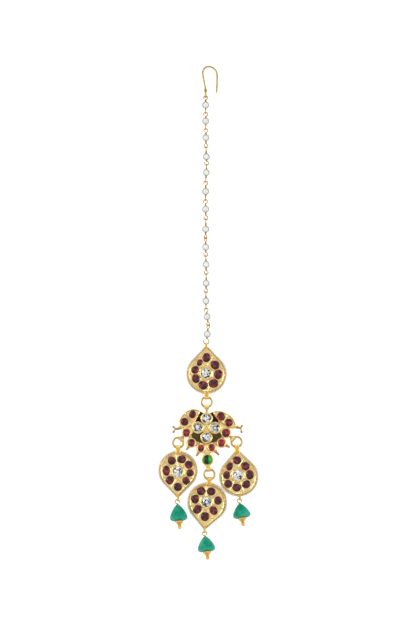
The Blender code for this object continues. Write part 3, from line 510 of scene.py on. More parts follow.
class Form:
    """Rings of points skinned into the faces of one piece, in millimetres."""

    def __init__(self, *finishes: Finish) -> None:
        """Start an empty form that wears these finishes, mostly the first."""
        self.finishes = finishes
        self.points: list[Vector] = []
        self.faces: list[tuple[int, ...]] = []
        self.worn: list[int] = []
        self.painted_shade_and_pale_band: list[float] = []
        self.shades: list[float] = []

    def skin(self, rings: Sequence[Ring], place: Matrix, finish: Finish | None = None,
             closed: bool = False, painted_shade_and_pale_band: Ring | None = None) -> None:
        """Skin a run of rings. A ring of one point is a pole, and other end rings get a face.

        Args:
            rings: the rings, each with as many points as its neighbours, or with one.
            place: where the rings' own frame lies.
            finish: what the faces wear, or None for the form's first finish.
            closed: whether the last ring joins the first.
            painted_shade_and_pale_band: each point's value, ring by ring, for painted shade and the bead's
                paler band.
        """
        runs, worn = [], self.finishes.index(finish) if finish else 0
        for number, ring in enumerate(rings):
            runs.append(range(len(self.points), len(self.points) + len(ring)))
            self.points += [place @ Vector(point) for point in ring]
            self.painted_shade_and_pale_band += painted_shade_and_pale_band[number] if painted_shade_and_pale_band else [0.0] * len(ring)
        for low, high in zip(runs, runs[1:] + runs[:1] if closed else runs[1:]):
            self._band(low, high, worn)
        if not closed:
            for ring in (runs[0], runs[-1]):
                if len(ring) > 2:
                    self.face(ring, worn)

    def _band(self, low: range, high: range, worn: int) -> None:
        """The faces between two rings."""
        count = max(len(low), len(high))
        for i in range(count):
            j = (i + 1) % count
            if len(low) == 1:
                self.face((low[0], high[i], high[j]), worn)
            elif len(high) == 1:
                self.face((low[i], low[j], high[0]), worn)
            else:
                self.face((low[i], low[j], high[j], high[i]), worn)

    def face(self, corners: Sequence[int], worn: int = 0, shade: float = 0.0) -> None:
        """One face by its corners' numbers, its finish's number and its shade, the painted reflection of a cut
        stone's facet.
        """
        self.faces.append(tuple(corners))
        self.worn.append(worn)
        self.shades.append(shade)

    def turned(self, profile: Sequence[Plan], place: Matrix, sides: int, finish: Finish | None = None,
               closed: bool = False, wave: float = 0.0, waves: int = 8) -> None:
        """A turned shape about its own Z, with an optional wavy rim.

        Args:
            profile: radius and height pairs.
            place: where the shape's own frame lies.
            sides: points round the axis.
            finish: what the faces wear, or None for the form's first finish.
            closed: whether the profile closes on itself, as round a bore.
            wave: the rim's wave as a share of the radius.
            waves: how many waves go round.
        """
        rings = []
        for radius, height in profile:
            if radius <= 0:
                rings.append([(0, 0, height)])
                continue
            ring = []
            for i in range(sides):
                angle = math.tau * i / sides
                out = radius * (1 + wave * math.cos(waves * angle))
                ring.append((out * math.cos(angle), out * math.sin(angle), height))
            rings.append(ring)
        self.skin(rings, place, finish, closed)

    def slab(self, line: np.ndarray, middle: np.ndarray, steps: Sequence[Plan], place: Matrix,
             finish: Finish) -> None:
        """A block that keeps an outline's form at every height.

        Args:
            line: the outline's points.
            middle: the point of the plan that the outline shrinks to.
            steps: share of the outline and height, from below upwards. A share of 0 is a pole.
            place: where the block's own frame lies.
            finish: what the faces wear.
        """
        rings = []
        for share, height in steps:
            ring = middle + (line - middle) * share if share else [middle]
            rings.append([(x, y, height) for x, y in ring])
        self.skin(rings, place, finish)

    def ball(self, centre: Vector, radius: float, sides: int = 16) -> None:
        """A round ball."""
        profile = [(radius * math.sin(math.pi * share), -radius * math.cos(math.pi * share))
                   for share in shares(sides // 2 + 1)]
        profile[0], profile[-1] = (0, -radius), (0, radius)
        self.turned(profile, Matrix.Translation(centre), sides)

    def build(self, name: str, nodes: Sequence[str] = (), sharp: float = 34.0) -> None:
        """Make the form a piece of the jewel, with its mesh in metres and a material for each of its finishes.

        Args:
            name: the piece's name.
            nodes: the CAD nodes that it replaces.
            sharp: edges sharper than this many degrees stay crisp.
        """
        mesh = bpy.data.meshes.new(name)
        mesh.from_pydata([point * MM for point in self.points], [], self.faces)
        for finish in self.finishes:
            mesh.materials.append(finish.material())
        mesh.polygons.foreach_set("material_index", self.worn)
        # each point's value for painted shade, and for the bead's paler band
        if any(self.painted_shade_and_pale_band):
            mesh.attributes.new("painted_shade_and_pale_band", "FLOAT", "POINT").data.foreach_set("value", self.painted_shade_and_pale_band)
        # each face's shade: the painted reflection on a cut stone's facets
        if any(self.shades):
            mesh.attributes.new("shade", "FLOAT", "FACE").data.foreach_set("value", self.shades)
        shape = bmesh.new()
        shape.from_mesh(mesh)
        bmesh.ops.recalc_face_normals(shape, faces=shape.faces)
        shape.to_mesh(mesh)
        shape.free()
        mesh.shade_smooth()
        mesh.set_sharp_from_angle(angle=math.radians(sharp))
        deliver(linked(name, mesh), nodes)


@dataclass(frozen=True)
class Bail:
    """A short round tube with rounded lips that a ring or a pin's loop passes through."""

    bore: float
    wall: float
    length: float
    height: float
    sides: int = 24
    rounding: float = 0.35

    def build(self, form: Form, centre: Vector, across: Vector, finish: Finish) -> None:
        """Add the tube, open through its bore.

        Args:
            form: what the faces go into.
            centre: the tube's middle.
            across: the direction of its bore.
            finish: what the faces wear.
        """
        half, lip, outside = self.length / 2, self.wall * self.rounding, self.bore + self.wall
        profile = [(self.bore, -half + lip), (self.bore + lip, -half), (outside - lip, -half),
                   (outside, -half + lip), (outside, half - lip), (outside - lip, half),
                   (self.bore + lip, half), (self.bore, half - lip)]
        place = Matrix.Translation(centre) @ across.to_track_quat("Z", "Y").to_matrix().to_4x4()
        form.turned(profile, place, self.sides, finish, closed=True)


RING_BAIL = Bail(0.751, 0.28, 2.0, 1.181)
SMALL_BAIL = Bail(0.438, 0.25, 1.0, 1.535)


@dataclass
class Strand:
    """One run of wire: its points, and its diameter everywhere or at each point."""

    points: list[Vector]
    diameter: float | list[float]
    closed: bool = False

    def diameters(self) -> list[float]:
        """The diameter at each point."""
        if isinstance(self.diameter, list):
            return self.diameter
        return [self.diameter] * len(self.points)

    def moved(self, place: Matrix) -> "Strand":
        """The same run laid in a frame."""
        return Strand([place @ point for point in self.points], self.diameter, self.closed)


class GeometryTree:
    """A Geometry Nodes tree with named inputs, run on paths and turned into plain meshes."""

    def __init__(self, name: str, inputs: dict[str, str]) -> None:
        """Start a tree with these inputs.

        Args:
            name: the tree's name.
            inputs: socket types by input name.
        """
        self.tree = bpy.data.node_groups.new(name, "GeometryNodeTree")
        interface = self.tree.interface
        interface.new_socket("Geometry", in_out="INPUT", socket_type="NodeSocketGeometry")
        interface.new_socket("Geometry", in_out="OUTPUT", socket_type="NodeSocketGeometry")
        self.sockets = {key: interface.new_socket(key, in_out="INPUT", socket_type=kind).identifier
                        for key, kind in inputs.items()}
        self.nodes = Nodes(self.tree)
        self.start = self.tree.nodes.new("NodeGroupInput")

    def given(self, name: str) -> Outlet:
        """An input of the tree."""
        return Outlet(self.nodes, self.start.outputs[name])

    def finish(self, shape: Outlet, material: Outlet) -> None:
        """End the tree: instances realised, shaded smooth and given their material."""
        real = self.nodes.node("GeometryNodeRealizeInstances", {}, {0: shape})
        smooth = self.nodes.node("GeometryNodeSetShadeSmooth", {}, {0: real, "Shade Smooth": True})
        dressed = self.nodes.node("GeometryNodeSetMaterial", {}, {0: smooth, "Material": material})
        end = self.tree.nodes.new("NodeGroupOutput")
        self.nodes.feed(end.inputs[0], dressed)

    def run(self, name: str, strands: Sequence[Strand], values: dict) -> bpy.types.Object:
        """Run the tree on paths and keep the result as a plain mesh.

        Args:
            name: the piece's name.
            strands: the paths, in millimetres, with their thickness at each point.
            values: the tree's inputs by name.

        Returns:
            The object, not yet riding on anything.
        """
        points, edges, thickness = [], [], []
        for strand in strands:
            start = len(points)
            points += [Vector(point) * MM for point in strand.points]
            thickness += [size * MM / 2 for size in strand.diameters()]
            edges += [(i, i + 1) for i in range(start, len(points) - 1)]
            if strand.closed:
                edges.append((len(points) - 1, start))
        mesh = bpy.data.meshes.new(name + "_path")
        mesh.from_pydata(points, edges, [])
        mesh.attributes.new("thickness", "FLOAT", "POINT").data.foreach_set("value", thickness)
        path = linked(name + "_path", mesh)
        step = path.modifiers.new("shape", "NODES")
        step.node_group = self.tree
        for key, value in values.items():
            step[self.sockets[key]] = value
        view = bpy.context.evaluated_depsgraph_get()
        made_mesh = bpy.data.meshes.new_from_object(path.evaluated_get(view), depsgraph=view)
        path.modifiers.remove(step)
        bpy.data.objects.remove(path)
        made_mesh.name = name
        return linked(name, made_mesh)


class WireTree(GeometryTree):
    """Round wire drawn along paths, as thick at each point as the path says."""

    def __init__(self) -> None:
        """Build the tree."""
        super().__init__("drawn_wire", {"Sides": "NodeSocketInt", "Finish": "NodeSocketMaterial"})
        curve = self.nodes.node("GeometryNodeMeshToCurve", {}, {0: self.given("Geometry")})
        thick = self.nodes.node("GeometryNodeInputNamedAttribute", {"data_type": "FLOAT"},
                                {"Name": "thickness"})
        section = self.nodes.node("GeometryNodeCurvePrimitiveCircle", {"mode": "RADIUS"},
                                  {"Resolution": self.given("Sides"), "Radius": 1.0})
        wire = self.nodes.node("GeometryNodeCurveToMesh", {},
                               {0: curve, 1: section, "Scale": thick, "Fill Caps": True})
        self.finish(wire, self.given("Finish"))

    def draw(self, name: str, strands: Sequence[Strand], finish: Finish, nodes: Sequence[str] = (),
             sides: int = 10) -> None:
        """Draw a piece of wire.

        Args:
            name: the piece's name.
            strands: the wire's runs.
            finish: what it wears.
            nodes: the CAD nodes that it replaces.
            sides: the sides of its section.
        """
        made = self.run(name, strands, {"Sides": sides, "Finish": finish.material()})
        deliver(made, nodes)


class SeedTree(GeometryTree):
    """Seed pearls strung one after another along a closed path, each a little different."""

    def __init__(self) -> None:
        """Build the tree."""
        super().__init__("seed_pearls", {
            "Pearl Diameter": "NodeSocketFloat", "Pearls": "NodeSocketInt", "Seed": "NodeSocketInt",
            "Finish": "NodeSocketMaterial"})
        nodes = self.nodes
        curve = nodes.node("GeometryNodeMeshToCurve", {}, {0: self.given("Geometry")})
        places = nodes.node("GeometryNodeResampleCurve", {}, {0: curve, "Count": self.given("Pearls")})
        pearl = nodes.node("GeometryNodeMeshUVSphere", {},
                           {"Segments": 10, "Rings": 7, "Radius": self.given("Pearl Diameter") * 0.5})
        size = nodes.node("FunctionNodeRandomValue", {"data_type": "FLOAT"},
                          {2: 0.98, 3: 1.08, "Seed": self.given("Seed")}, 1)
        turn = nodes.node("FunctionNodeRandomValue", {"data_type": "FLOAT_VECTOR"},
                          {0: (0, 0, 0), 1: (math.tau, math.tau, math.tau), "Seed": self.given("Seed")}, 0)
        strung = nodes.node("GeometryNodeInstanceOnPoints", {},
                            {"Points": places, "Instance": pearl, "Rotation": turn, "Scale": size})
        self.finish(strung, self.given("Finish"))

    def string(self, name: str, path: Strand, diameter: float, count: int, seed: int,
               nodes: Sequence[str]) -> None:
        """String pearls along a path.

        Args:
            name: the piece's name.
            path: the closed path.
            diameter: a pearl's diameter.
            count: how many pearls.
            seed: what makes this string differ from the others.
            nodes: the CAD nodes that it replaces.
        """
        made = self.run(name, [path], {"Pearl Diameter": diameter * MM, "Pearls": count, "Seed": seed,
                                       "Finish": SEED_PEARL.material()})
        deliver(made, nodes)


@dataclass
class Oval:
    """A cabochon's place and half sizes in the plan, and its turn."""

    across: float
    along: float
    half_width: float
    half_length: float
    turn: float = 0.0

    def distance(self, places: np.ndarray) -> np.ndarray:
        """How far places lie outside the oval's edge, negative inside."""
        angle = math.radians(self.turn)
        x, y = places[..., 0] - self.across, places[..., 1] - self.along
        own_x = x * math.cos(angle) + y * math.sin(angle)
        own_y = y * math.cos(angle) - x * math.sin(angle)
        reach = np.hypot(own_x / self.half_width, own_y / self.half_length)
        return (reach - 1) * min(self.half_width, self.half_length)

    def radius(self, angle: float) -> float:
        """From the middle to the edge in a direction of the plan."""
        own = angle - math.radians(self.turn)
        return 1 / math.hypot(math.cos(own) / self.half_width, math.sin(own) / self.half_length)


def distance_to_line(places: np.ndarray, line: np.ndarray) -> np.ndarray:
    """Distances from places to a closed line through points.

    Args:
        places: an array that ends in x and y.
        line: the line's points.

    Returns:
        One distance for each place.
    """
    start, run = line, np.roll(line, -1, axis=0) - line
    offset = places[..., None, :] - start
    share = np.clip((offset * run).sum(-1) / (run ** 2).sum(-1), 0, 1)
    return np.linalg.norm(offset - share[..., None] * run, axis=-1).min(-1)


@dataclass
class CellPlate:
    """A gold top whose cabochons lie in shallow cells with raised ridges between them."""

    outline: np.ndarray
    middle: np.ndarray
    stones: list[Oval]
    bottom: float
    top: float
    collet: tuple[float, float, float] | None = None
    ridge: float = 0.36
    dip: float = 0.2
    bevel: float = 0.22
    rings: int = 56
    stone_rise: float = 0.55
    stone_gap: float = 0.14
    stone_reach: float = 1.1
    # painted shade on the top's bevelled edge
    edge_painted_shade: float = 0.3
    far: float = 9.0

    def room(self, places: np.ndarray, stone: Oval | None = None) -> np.ndarray:
        """How far places lie from the nearest ridge.

        Args:
            places: an array that ends in x and y.
            stone: the cabochon whose cell is meant, or None for the nearest one's.

        Returns:
            One distance for each place.
        """
        edges = np.stack([each.distance(places) for each in self.stones])
        if stone is None:
            ordered = np.sort(edges, axis=0)
            alone = np.full(places.shape[:-1], self.far)
            apart = (ordered[1] - ordered[0]) / 2 if len(edges) > 1 else alone
        else:
            others = [edge for each, edge in zip(self.stones, edges) if each is not stone]
            apart = (np.min(others, axis=0) - stone.distance(places)) / 2 if others else edges[0] + self.far
        room = np.minimum(apart, distance_to_line(places, self.outline) - self.bevel)
        if self.collet:
            x, y, radius = self.collet
            room = np.minimum(room, np.hypot(places[..., 0] - x, places[..., 1] - y) - radius)
        return room

    def painted_shade_and_pale_band(self, places: np.ndarray) -> np.ndarray:
        """How deep in its cell each place lies, from 0 on a ridge to 1: it sets the top's dip and its painted
        shade.
        """
        share = np.clip(self.room(places) / self.ridge, 0, 1)
        return share * share * (3 - 2 * share)

    def body(self, form: Form, place: Matrix, wall: Finish, top: Finish) -> None:
        """The plate's wall and its celled top.

        Args:
            form: what the faces go into.
            place: where the plate's own frame lies.
            wall: the finish of the wall and underside.
            top: the finish of the top.
        """
        spread = self.outline - self.middle
        inner = self.middle + spread * (1 - self.bevel / np.linalg.norm(spread, axis=1, keepdims=True))
        form.slab(self.outline, self.middle, plain(self.bottom, self.top - self.bevel), place, wall)
        rings = [[(*self.middle, self.top - self.bevel * 2)],
                 [(*point, self.top - self.bevel) for point in self.outline]]
        # the top's points carry painted shade: some on its edge, more the deeper they lie in a cell
        depths = [[self.edge_painted_shade], [self.edge_painted_shade] * len(inner)]
        for k in range(self.rings, -1, -1):
            ring = self.middle + (inner - self.middle) * (k / self.rings) if k else self.middle[None, :]
            depths.append([float(deep) for deep in self.painted_shade_and_pale_band(ring)])
            rings.append([(x, y, self.top - self.dip * deep) for (x, y), deep in zip(ring, depths[-1])])
        form.skin(rings, place, top, painted_shade_and_pale_band=depths)

    def _reach(self, stone: Oval, angle: float) -> float:
        """How far a stone runs in a direction before its cell ends."""
        steps = np.linspace(0.3, self.stone_reach, 46) * stone.radius(angle)
        way = np.array([math.cos(angle), math.sin(angle)])
        places = np.array([stone.across, stone.along]) + steps[:, None] * way
        blocked = np.nonzero(self.room(places, stone) <= self.stone_gap)[0]
        return steps[max(blocked[0] - 1, 0)] if len(blocked) else steps[-1]

    def cabochons(self, form: Form, place: Matrix, sides: int = 36) -> None:
        """The stones, each filling its cell with rounded corners.

        Args:
            form: what the faces go into.
            place: where the plate's own frame lies.
            sides: points round a stone.
        """
        floor = self.top - self.dip
        crown = dome(1.0, floor, self.stone_rise + self.dip, (0, 18, 36, 54, 72), 0.9)
        for stone in self.stones:
            reach = np.array([self._reach(stone, math.tau * i / sides) for i in range(sides)])
            for _ in range(2):
                reach = (np.roll(reach, 1) + 2 * reach + np.roll(reach, -1)) / 4
            middle = np.array([stone.across, stone.along])
            edge = reach[:, None] * np.array(circle(1.0, sides))
            rings = [[(x, y, height) for x, y in middle + edge * share]
                     for share, height in [(1.0, floor - 0.3)] + crown[:-1]]
            # painted shade: none at each stone's edge, most at its middle
            shadow = [[share] * sides for share in (0.0, 0.0, 0.15, 0.45, 0.75, 0.95)]
            form.skin(rings + [[(*middle, crown[-1][1])]], place, painted_shade_and_pale_band=shadow + [[1.0]])


@dataclass
class Pear:
    """A pear outline: a round end about its origin, straight flanks and a small round tip towards +Y."""

    half_width: float
    reach: float
    tip_radius: float

    def ring(self, count: int, inset: float = 0.0) -> np.ndarray:
        """Points of the outline at even angles.

        Args:
            count: how many points.
            inset: how far the points lie inside the outline.

        Returns:
            The points, anticlockwise from +X.
        """
        wide, tip = self.half_width - inset, self.tip_radius - inset
        far = self.reach - self.tip_radius
        flank = math.asin((wide - tip) / far)
        corner = math.atan2(tip * math.cos(flank), far + tip * math.sin(flank))
        points = []
        for i in range(count):
            angle = math.tau * i / count
            aside = abs(math.remainder(math.pi / 2 - angle, math.tau))
            if aside > math.pi / 2 - flank:
                out = wide
            elif aside > corner:
                out = wide / math.cos(math.pi / 2 - flank - aside)
            else:
                out = far * math.cos(aside) + math.sqrt(max(tip ** 2 - (far * math.sin(aside)) ** 2, 0))
            points.append((out * math.cos(angle), out * math.sin(angle)))
        return np.array(points)


@dataclass
class Brilliant:
    """A cut stone: an octagonal table, star and kite facets, a girdle and a pointed back."""

    radius: float
    depth: float = 1.5
    crown: float = 0.5
    girdle: float = 0.15
    table: float = 0.58
    heart: float = 0.24
    star: float = 0.8
    culet: float = 0.35
    # shades of painted reflection: the crown's facets draw from the first, the heart, the girdle and the back
    # have their own
    shades: tuple[float, ...] = (0.0, 0.12, 0.3, 0.5, 0.85, 1.0, 1.0)
    heart_shade: float = 0.95
    girdle_shade: float = 0.6
    back_shades: tuple[float, float] = (0.4, 0.5)

    def cut(self, form: Form, place: Matrix, seed: int) -> None:
        """Cut the stone with its table up.

        Args:
            form: what the faces go into.
            place: the middle of the stone's underside, and its turn.
            seed: what makes this stone's painted reflections on its facets differ from the others'.
        """
        play = random.Random(seed)
        edge = self.depth - self.crown
        dark, pale = self.back_shades

        def ring(count: int, share: float, height: float, shift: float = 0.0) -> list[int]:
            """The numbers of new corners round the stone, at a share of its radius and a height."""
            start = len(form.points)
            form.points += [place @ Vector((x, y, height))
                            for x, y in circle(self.radius * share, count, shift)]
            form.painted_shade_and_pale_band += [0.0] * count
            return list(range(start, start + count))

        heart = ring(8, self.heart, self.depth, 0.5)
        table = ring(8, self.table, self.depth)
        star = ring(8, self.star, self.depth - self.crown / 2, 0.5)
        top = ring(16, 1.0, edge)
        under = ring(16, 1.0, edge - self.girdle)
        point = ring(8, self.culet, 0.0)

        def facet(*corners: int) -> None:
            """A facet of the crown with a painted reflection of its own."""
            form.face(corners, shade=play.choice(self.shades))

        form.face(heart, shade=self.heart_shade)
        for i in range(8):
            j = (i + 1) % 8
            facet(table[i], heart[i], heart[i - 1])
            facet(table[i], table[j], heart[i])
            facet(table[i], table[j], star[i])
            facet(table[i], star[i - 1], top[2 * i], star[i])
            facet(star[i], top[2 * i], top[2 * i + 1])
            facet(star[i], top[2 * i + 1], top[(2 * i + 2) % 16])
            form.face((under[2 * i], under[2 * i + 1], point[i]), shade=dark)
            form.face((under[2 * i + 1], under[(2 * i + 2) % 16], point[j], point[i]), shade=pale)
        for i in range(16):
            form.face((top[i], top[(i + 1) % 16], under[(i + 1) % 16], under[i]),
                      shade=self.girdle_shade)
        form.face(point, shade=dark)


def loop_points(centre: Vector, radius: float, level: Level, sign: int) -> list[Vector]:
    """A wire's open loop, starting next to the shank that it closes on.

    Args:
        centre: the loop's centre.
        radius: to the wire's middle.
        level: how the loop is turned from lying flat.
        sign: 1 where the loop lies up from its shank, -1 where it lies down from it.

    Returns:
        The loop's points.
    """
    turn = math.radians(level.value)
    flat = RIGHT * math.cos(turn) + OUT * math.sin(turn)
    angles = [-math.pi / 2 + LOOP_SWEEP * share for share in shares(LOOP_STEPS + 1)]
    return [centre + radius * (math.cos(angle) * flat + sign * math.sin(angle) * UP) for angle in angles]


@dataclass
class Hook:
    """The wire hook: a loop that stands on edge, a bound, swollen shank and a crook down to the table."""

    wire_dia: float = 0.75
    loop_dia: float = 2.7
    length: float = 12.1
    shank_dia: float = 1.03
    drop: float = 1.16
    binding_dia: float = 0.3
    binding_radius: float = 0.495
    binding_run: Plan = (-0.45, 0.75)
    taper: tuple[float, ...] = (1.0, 0.96, 0.8, 0.45)
    bends: list[Plan] = field(default_factory=lambda: [
        (-0.01, 0.25), (-0.07, 0.57), (-0.10, 0.80), (-0.01, 0.96), (0.12, 1.00),
        (0.29, 0.93), (0.385, 0.78), (0.40, 0.50), (0.38, 0.05)])

    def build(self, wires: WireTree, centre: Vector) -> None:
        """Bend the hook from its loop's centre."""
        eye = loop_points(centre, (self.loop_dia - self.wire_dia) / 2, Level.EDGE, -1)[::-1]
        shank = centre + UP * (self.loop_dia + self.wire_dia) / 2
        crook = [centre + Vector((across * self.length, along * self.length, -along * self.drop))
                 for across, along in smoothed(self.bends, 8)]
        run = smoothed([shank, (shank + crook[0]) / 2, crook[0]], 5)[:-1]
        swell = [self.wire_dia + (self.shank_dia - self.wire_dia) * math.sin(math.pi * k / len(run))
                 for k in range(len(run))]
        tip = [self.wire_dia * share for share in self.taper]
        sizes = [self.wire_dia] * len(eye) + swell + [self.wire_dia] * (len(crook) - len(tip)) + tip
        binding = [shank + point for point in coil(self.binding_run, (self.binding_radius,) * 2, 4, 40)]
        wires.draw("hook_wire", [Strand(eye + run + crook, sizes), Strand(binding, self.binding_dia)],
                   HOOK_GOLD, ["hook"], 14)


@dataclass
class Link:
    """One pearl on its eye pin: its lean, its wraps as shares of the longest, its loops' turns."""

    lean: float
    wrap_above: float
    wrap_below: float
    turn_above: Level
    turn_below: Level
    egg: float = 1.0


@dataclass
class PearlChain:
    """Fourteen pearls on eye pins that hang loop in loop."""

    pearl_dia: float = 3.07
    wire_dia: float = 0.42
    loop_dia: float = 2.05
    end_loop_dia: float = 2.7
    longest_wrap: float = 1.1
    wrap_dia: float = 0.95
    wrap_tip_dia: float = 0.67
    coil_dia: float = 0.3
    bore_gap: float = 0.15
    link_gap: float = 0.12
    links: list[Link] = field(default_factory=lambda: [
        Link(0.3, 0.44, 0.24, Level.FLAT, Level.EDGE),
        Link(0.5, 0.24, 0.34, Level.FLAT, Level.EDGE),
        Link(0.5, 0.34, 0.80, Level.FLAT, Level.FLAT),
        Link(2.3, 0.80, 0.20, Level.EDGE, Level.FLAT),
        Link(-3.0, 0.20, 0.80, Level.EDGE, Level.EDGE, 0.95),
        Link(-0.8, 0.80, 0.55, Level.FLAT, Level.EDGE),
        Link(1.2, 0.55, 1.00, Level.FLAT, Level.FLAT),
        Link(-1.0, 1.00, 0.62, Level.EDGE, Level.HALF),
        Link(0.8, 0.62, 0.45, Level.BACK, Level.FLAT),
        Link(1.3, 0.45, 0.77, Level.EDGE, Level.FLAT, 0.94),
        Link(-0.8, 0.77, 0.55, Level.EDGE, Level.FLAT),
        Link(-0.2, 0.55, 0.20, Level.EDGE, Level.EDGE),
        Link(8.5, 0.20, 0.53, Level.FLAT, Level.HALF),
        Link(-7.5, 0.53, 0.20, Level.BACK, Level.FLAT),
    ])

    def build(self, wires: WireTree) -> Vector:
        """Make the pearls and the pins; returns the centre of the topmost loop."""
        top = Vector()
        for number, link in enumerate(self.links, 1):
            place = (Matrix.Translation(centre_of(f"pearl_{number:02d}"))
                     @ Matrix.Rotation(math.radians(link.lean), 4, "Z"))
            last = number == len(self.links)
            self._pearl(number, link, place)
            self._pin(wires, number, link, place, self.end_loop_dia if last else self.loop_dia)
            if number == 1:
                top = place @ Vector((0, self._reach(link.wrap_above) + self.loop_dia / 2, 0))
        return top

    def _reach(self, wrap: float) -> float:
        """From a pearl's middle to the end of a wrap."""
        return self.pearl_dia / 2 + wrap * self.longest_wrap

    def _pearl(self, number: int, link: Link, place: Matrix) -> None:
        """One pearl, drilled along its pin, some a little egg-shaped."""
        radius, bore = self.pearl_dia / 2, self.wire_dia / 2 + self.bore_gap
        rim, lip = math.asin(bore / radius), 0.1
        profile = [(bore, -radius * math.cos(rim) + lip)]
        for share in shares(21):
            angle = rim + (math.pi - 2 * rim) * share
            height = -radius * math.cos(angle)
            out = radius * math.sin(angle) * (1 - (1 - link.egg) * (0.5 + height / radius / 2))
            profile.append((max(out, bore), height))
        profile.append((bore, radius * math.cos(rim) - lip))
        form = Form(PEARL)
        axis = place @ Matrix.Rotation(math.radians(-90), 4, "X")
        form.turned(profile, axis, 32, closed=True)
        form.build(f"chain_pearl_{number:02d}", [f"pearl_{number:02d}"], 60)

    def _pin(self, wires: WireTree, number: int, link: Link, place: Matrix, lower_dia: float) -> None:
        """One eye pin: a loop at each end and a tight coil between each loop and the pearl."""
        above, below = self._reach(link.wrap_above), self._reach(link.wrap_below)
        upper = loop_points(UP * (above + self.loop_dia / 2), (self.loop_dia - self.wire_dia) / 2,
                            link.turn_above, 1)
        lower = loop_points(UP * (-below - lower_dia / 2), (lower_dia - self.wire_dia) / 2,
                            link.turn_below, -1)
        strands = [Strand(lower[::-1] + [UP * -below, UP * above] + upper, self.wire_dia),
                   self._coil(above, 1), self._coil(below, -1)]
        wires.draw(f"chain_pin_{number:02d}", [strand.moved(place) for strand in strands], WIRE_GOLD,
                   [f"pin_{number:02d}"], 8)

    def _coil(self, reach: float, sign: int) -> Strand:
        """A coned coil round the stem, from the pearl to the loop that starts at this reach."""
        start = math.sqrt((self.pearl_dia / 2) ** 2 - (self.wrap_dia / 2) ** 2) + self.link_gap
        end = reach + self.wire_dia * 0.3
        turns = max(2.0, (end - start) / (self.coil_dia * 0.9))
        radii = ((self.wrap_dia - self.coil_dia) / 2, (self.wrap_tip_dia - self.coil_dia) / 2)
        return Strand(coil((sign * start, sign * end), radii, turns, round(turns * 10)), self.coil_dia)


@dataclass
class JumpRings:
    """The four soldered rings between the centre piece and its drops, by their joints' directions."""

    diameter: float = 5.2
    wire_dia: float = 0.86
    steps: int = 56
    waist: float = 0.08
    waist_width: float = 8.0
    joints: dict[str, float] = field(default_factory=lambda: {
        "top": 25.0, "left": 160.0, "right": 40.0, "bottom": 200.0})

    def build(self, wires: WireTree) -> None:
        """Draw each ring with a slight waist at its solder joint."""
        radius = (self.diameter - self.wire_dia) / 2
        for name, joint in self.joints.items():
            centre, points, sizes = centre_of(f"ring_{name}"), [], []
            for i in range(self.steps):
                degrees = joint + 360 * i / self.steps
                points.append(centre + heading(degrees) * radius)
                near = math.remainder(degrees - joint, 360) / self.waist_width
                sizes.append(self.wire_dia * (1 - self.waist * math.exp(-near ** 2)))
            wires.draw(f"jump_ring_{name}", [Strand(points, sizes, True)], RING_GOLD, [f"ring_{name}"], 14)


@dataclass
class Collet:
    """A rubbed-over bezel: a thick rounded ring round a stone, pear-shaped where it has a tip."""

    stone_radius: float
    wall: float
    base: float
    top: float
    tip_reach: float = 0.0
    tip_radius: float = 0.3
    seat: float = 1.2
    turn: float = 0.0

    def build(self, form: Form, place: Matrix, finish: Finish, sides: int = 48) -> None:
        """Raise the bezel round a stone.

        Args:
            form: what the faces go into.
            place: the frame of the stone's middle.
            finish: what the faces wear.
            sides: points round the bezel.
        """
        wide = self.stone_radius + self.wall
        inner, outer = np.array(circle(self.stone_radius, sides)), np.array(circle(wide, sides))
        if self.tip_reach:
            outer = Pear(wide, self.tip_reach, self.tip_radius).ring(sides)
        steps = [(0.0, self.base)] + [(share, self.top + rise) for share, rise in COLLET_RIM]
        rings = [[(x, y, height) for x, y in outer + (inner - outer) * share]
                 for share, height in steps + [(1.02, self.top - self.seat)]]
        form.skin(rings, place @ Matrix.Rotation(math.radians(self.turn), 4, "Z"), finish)


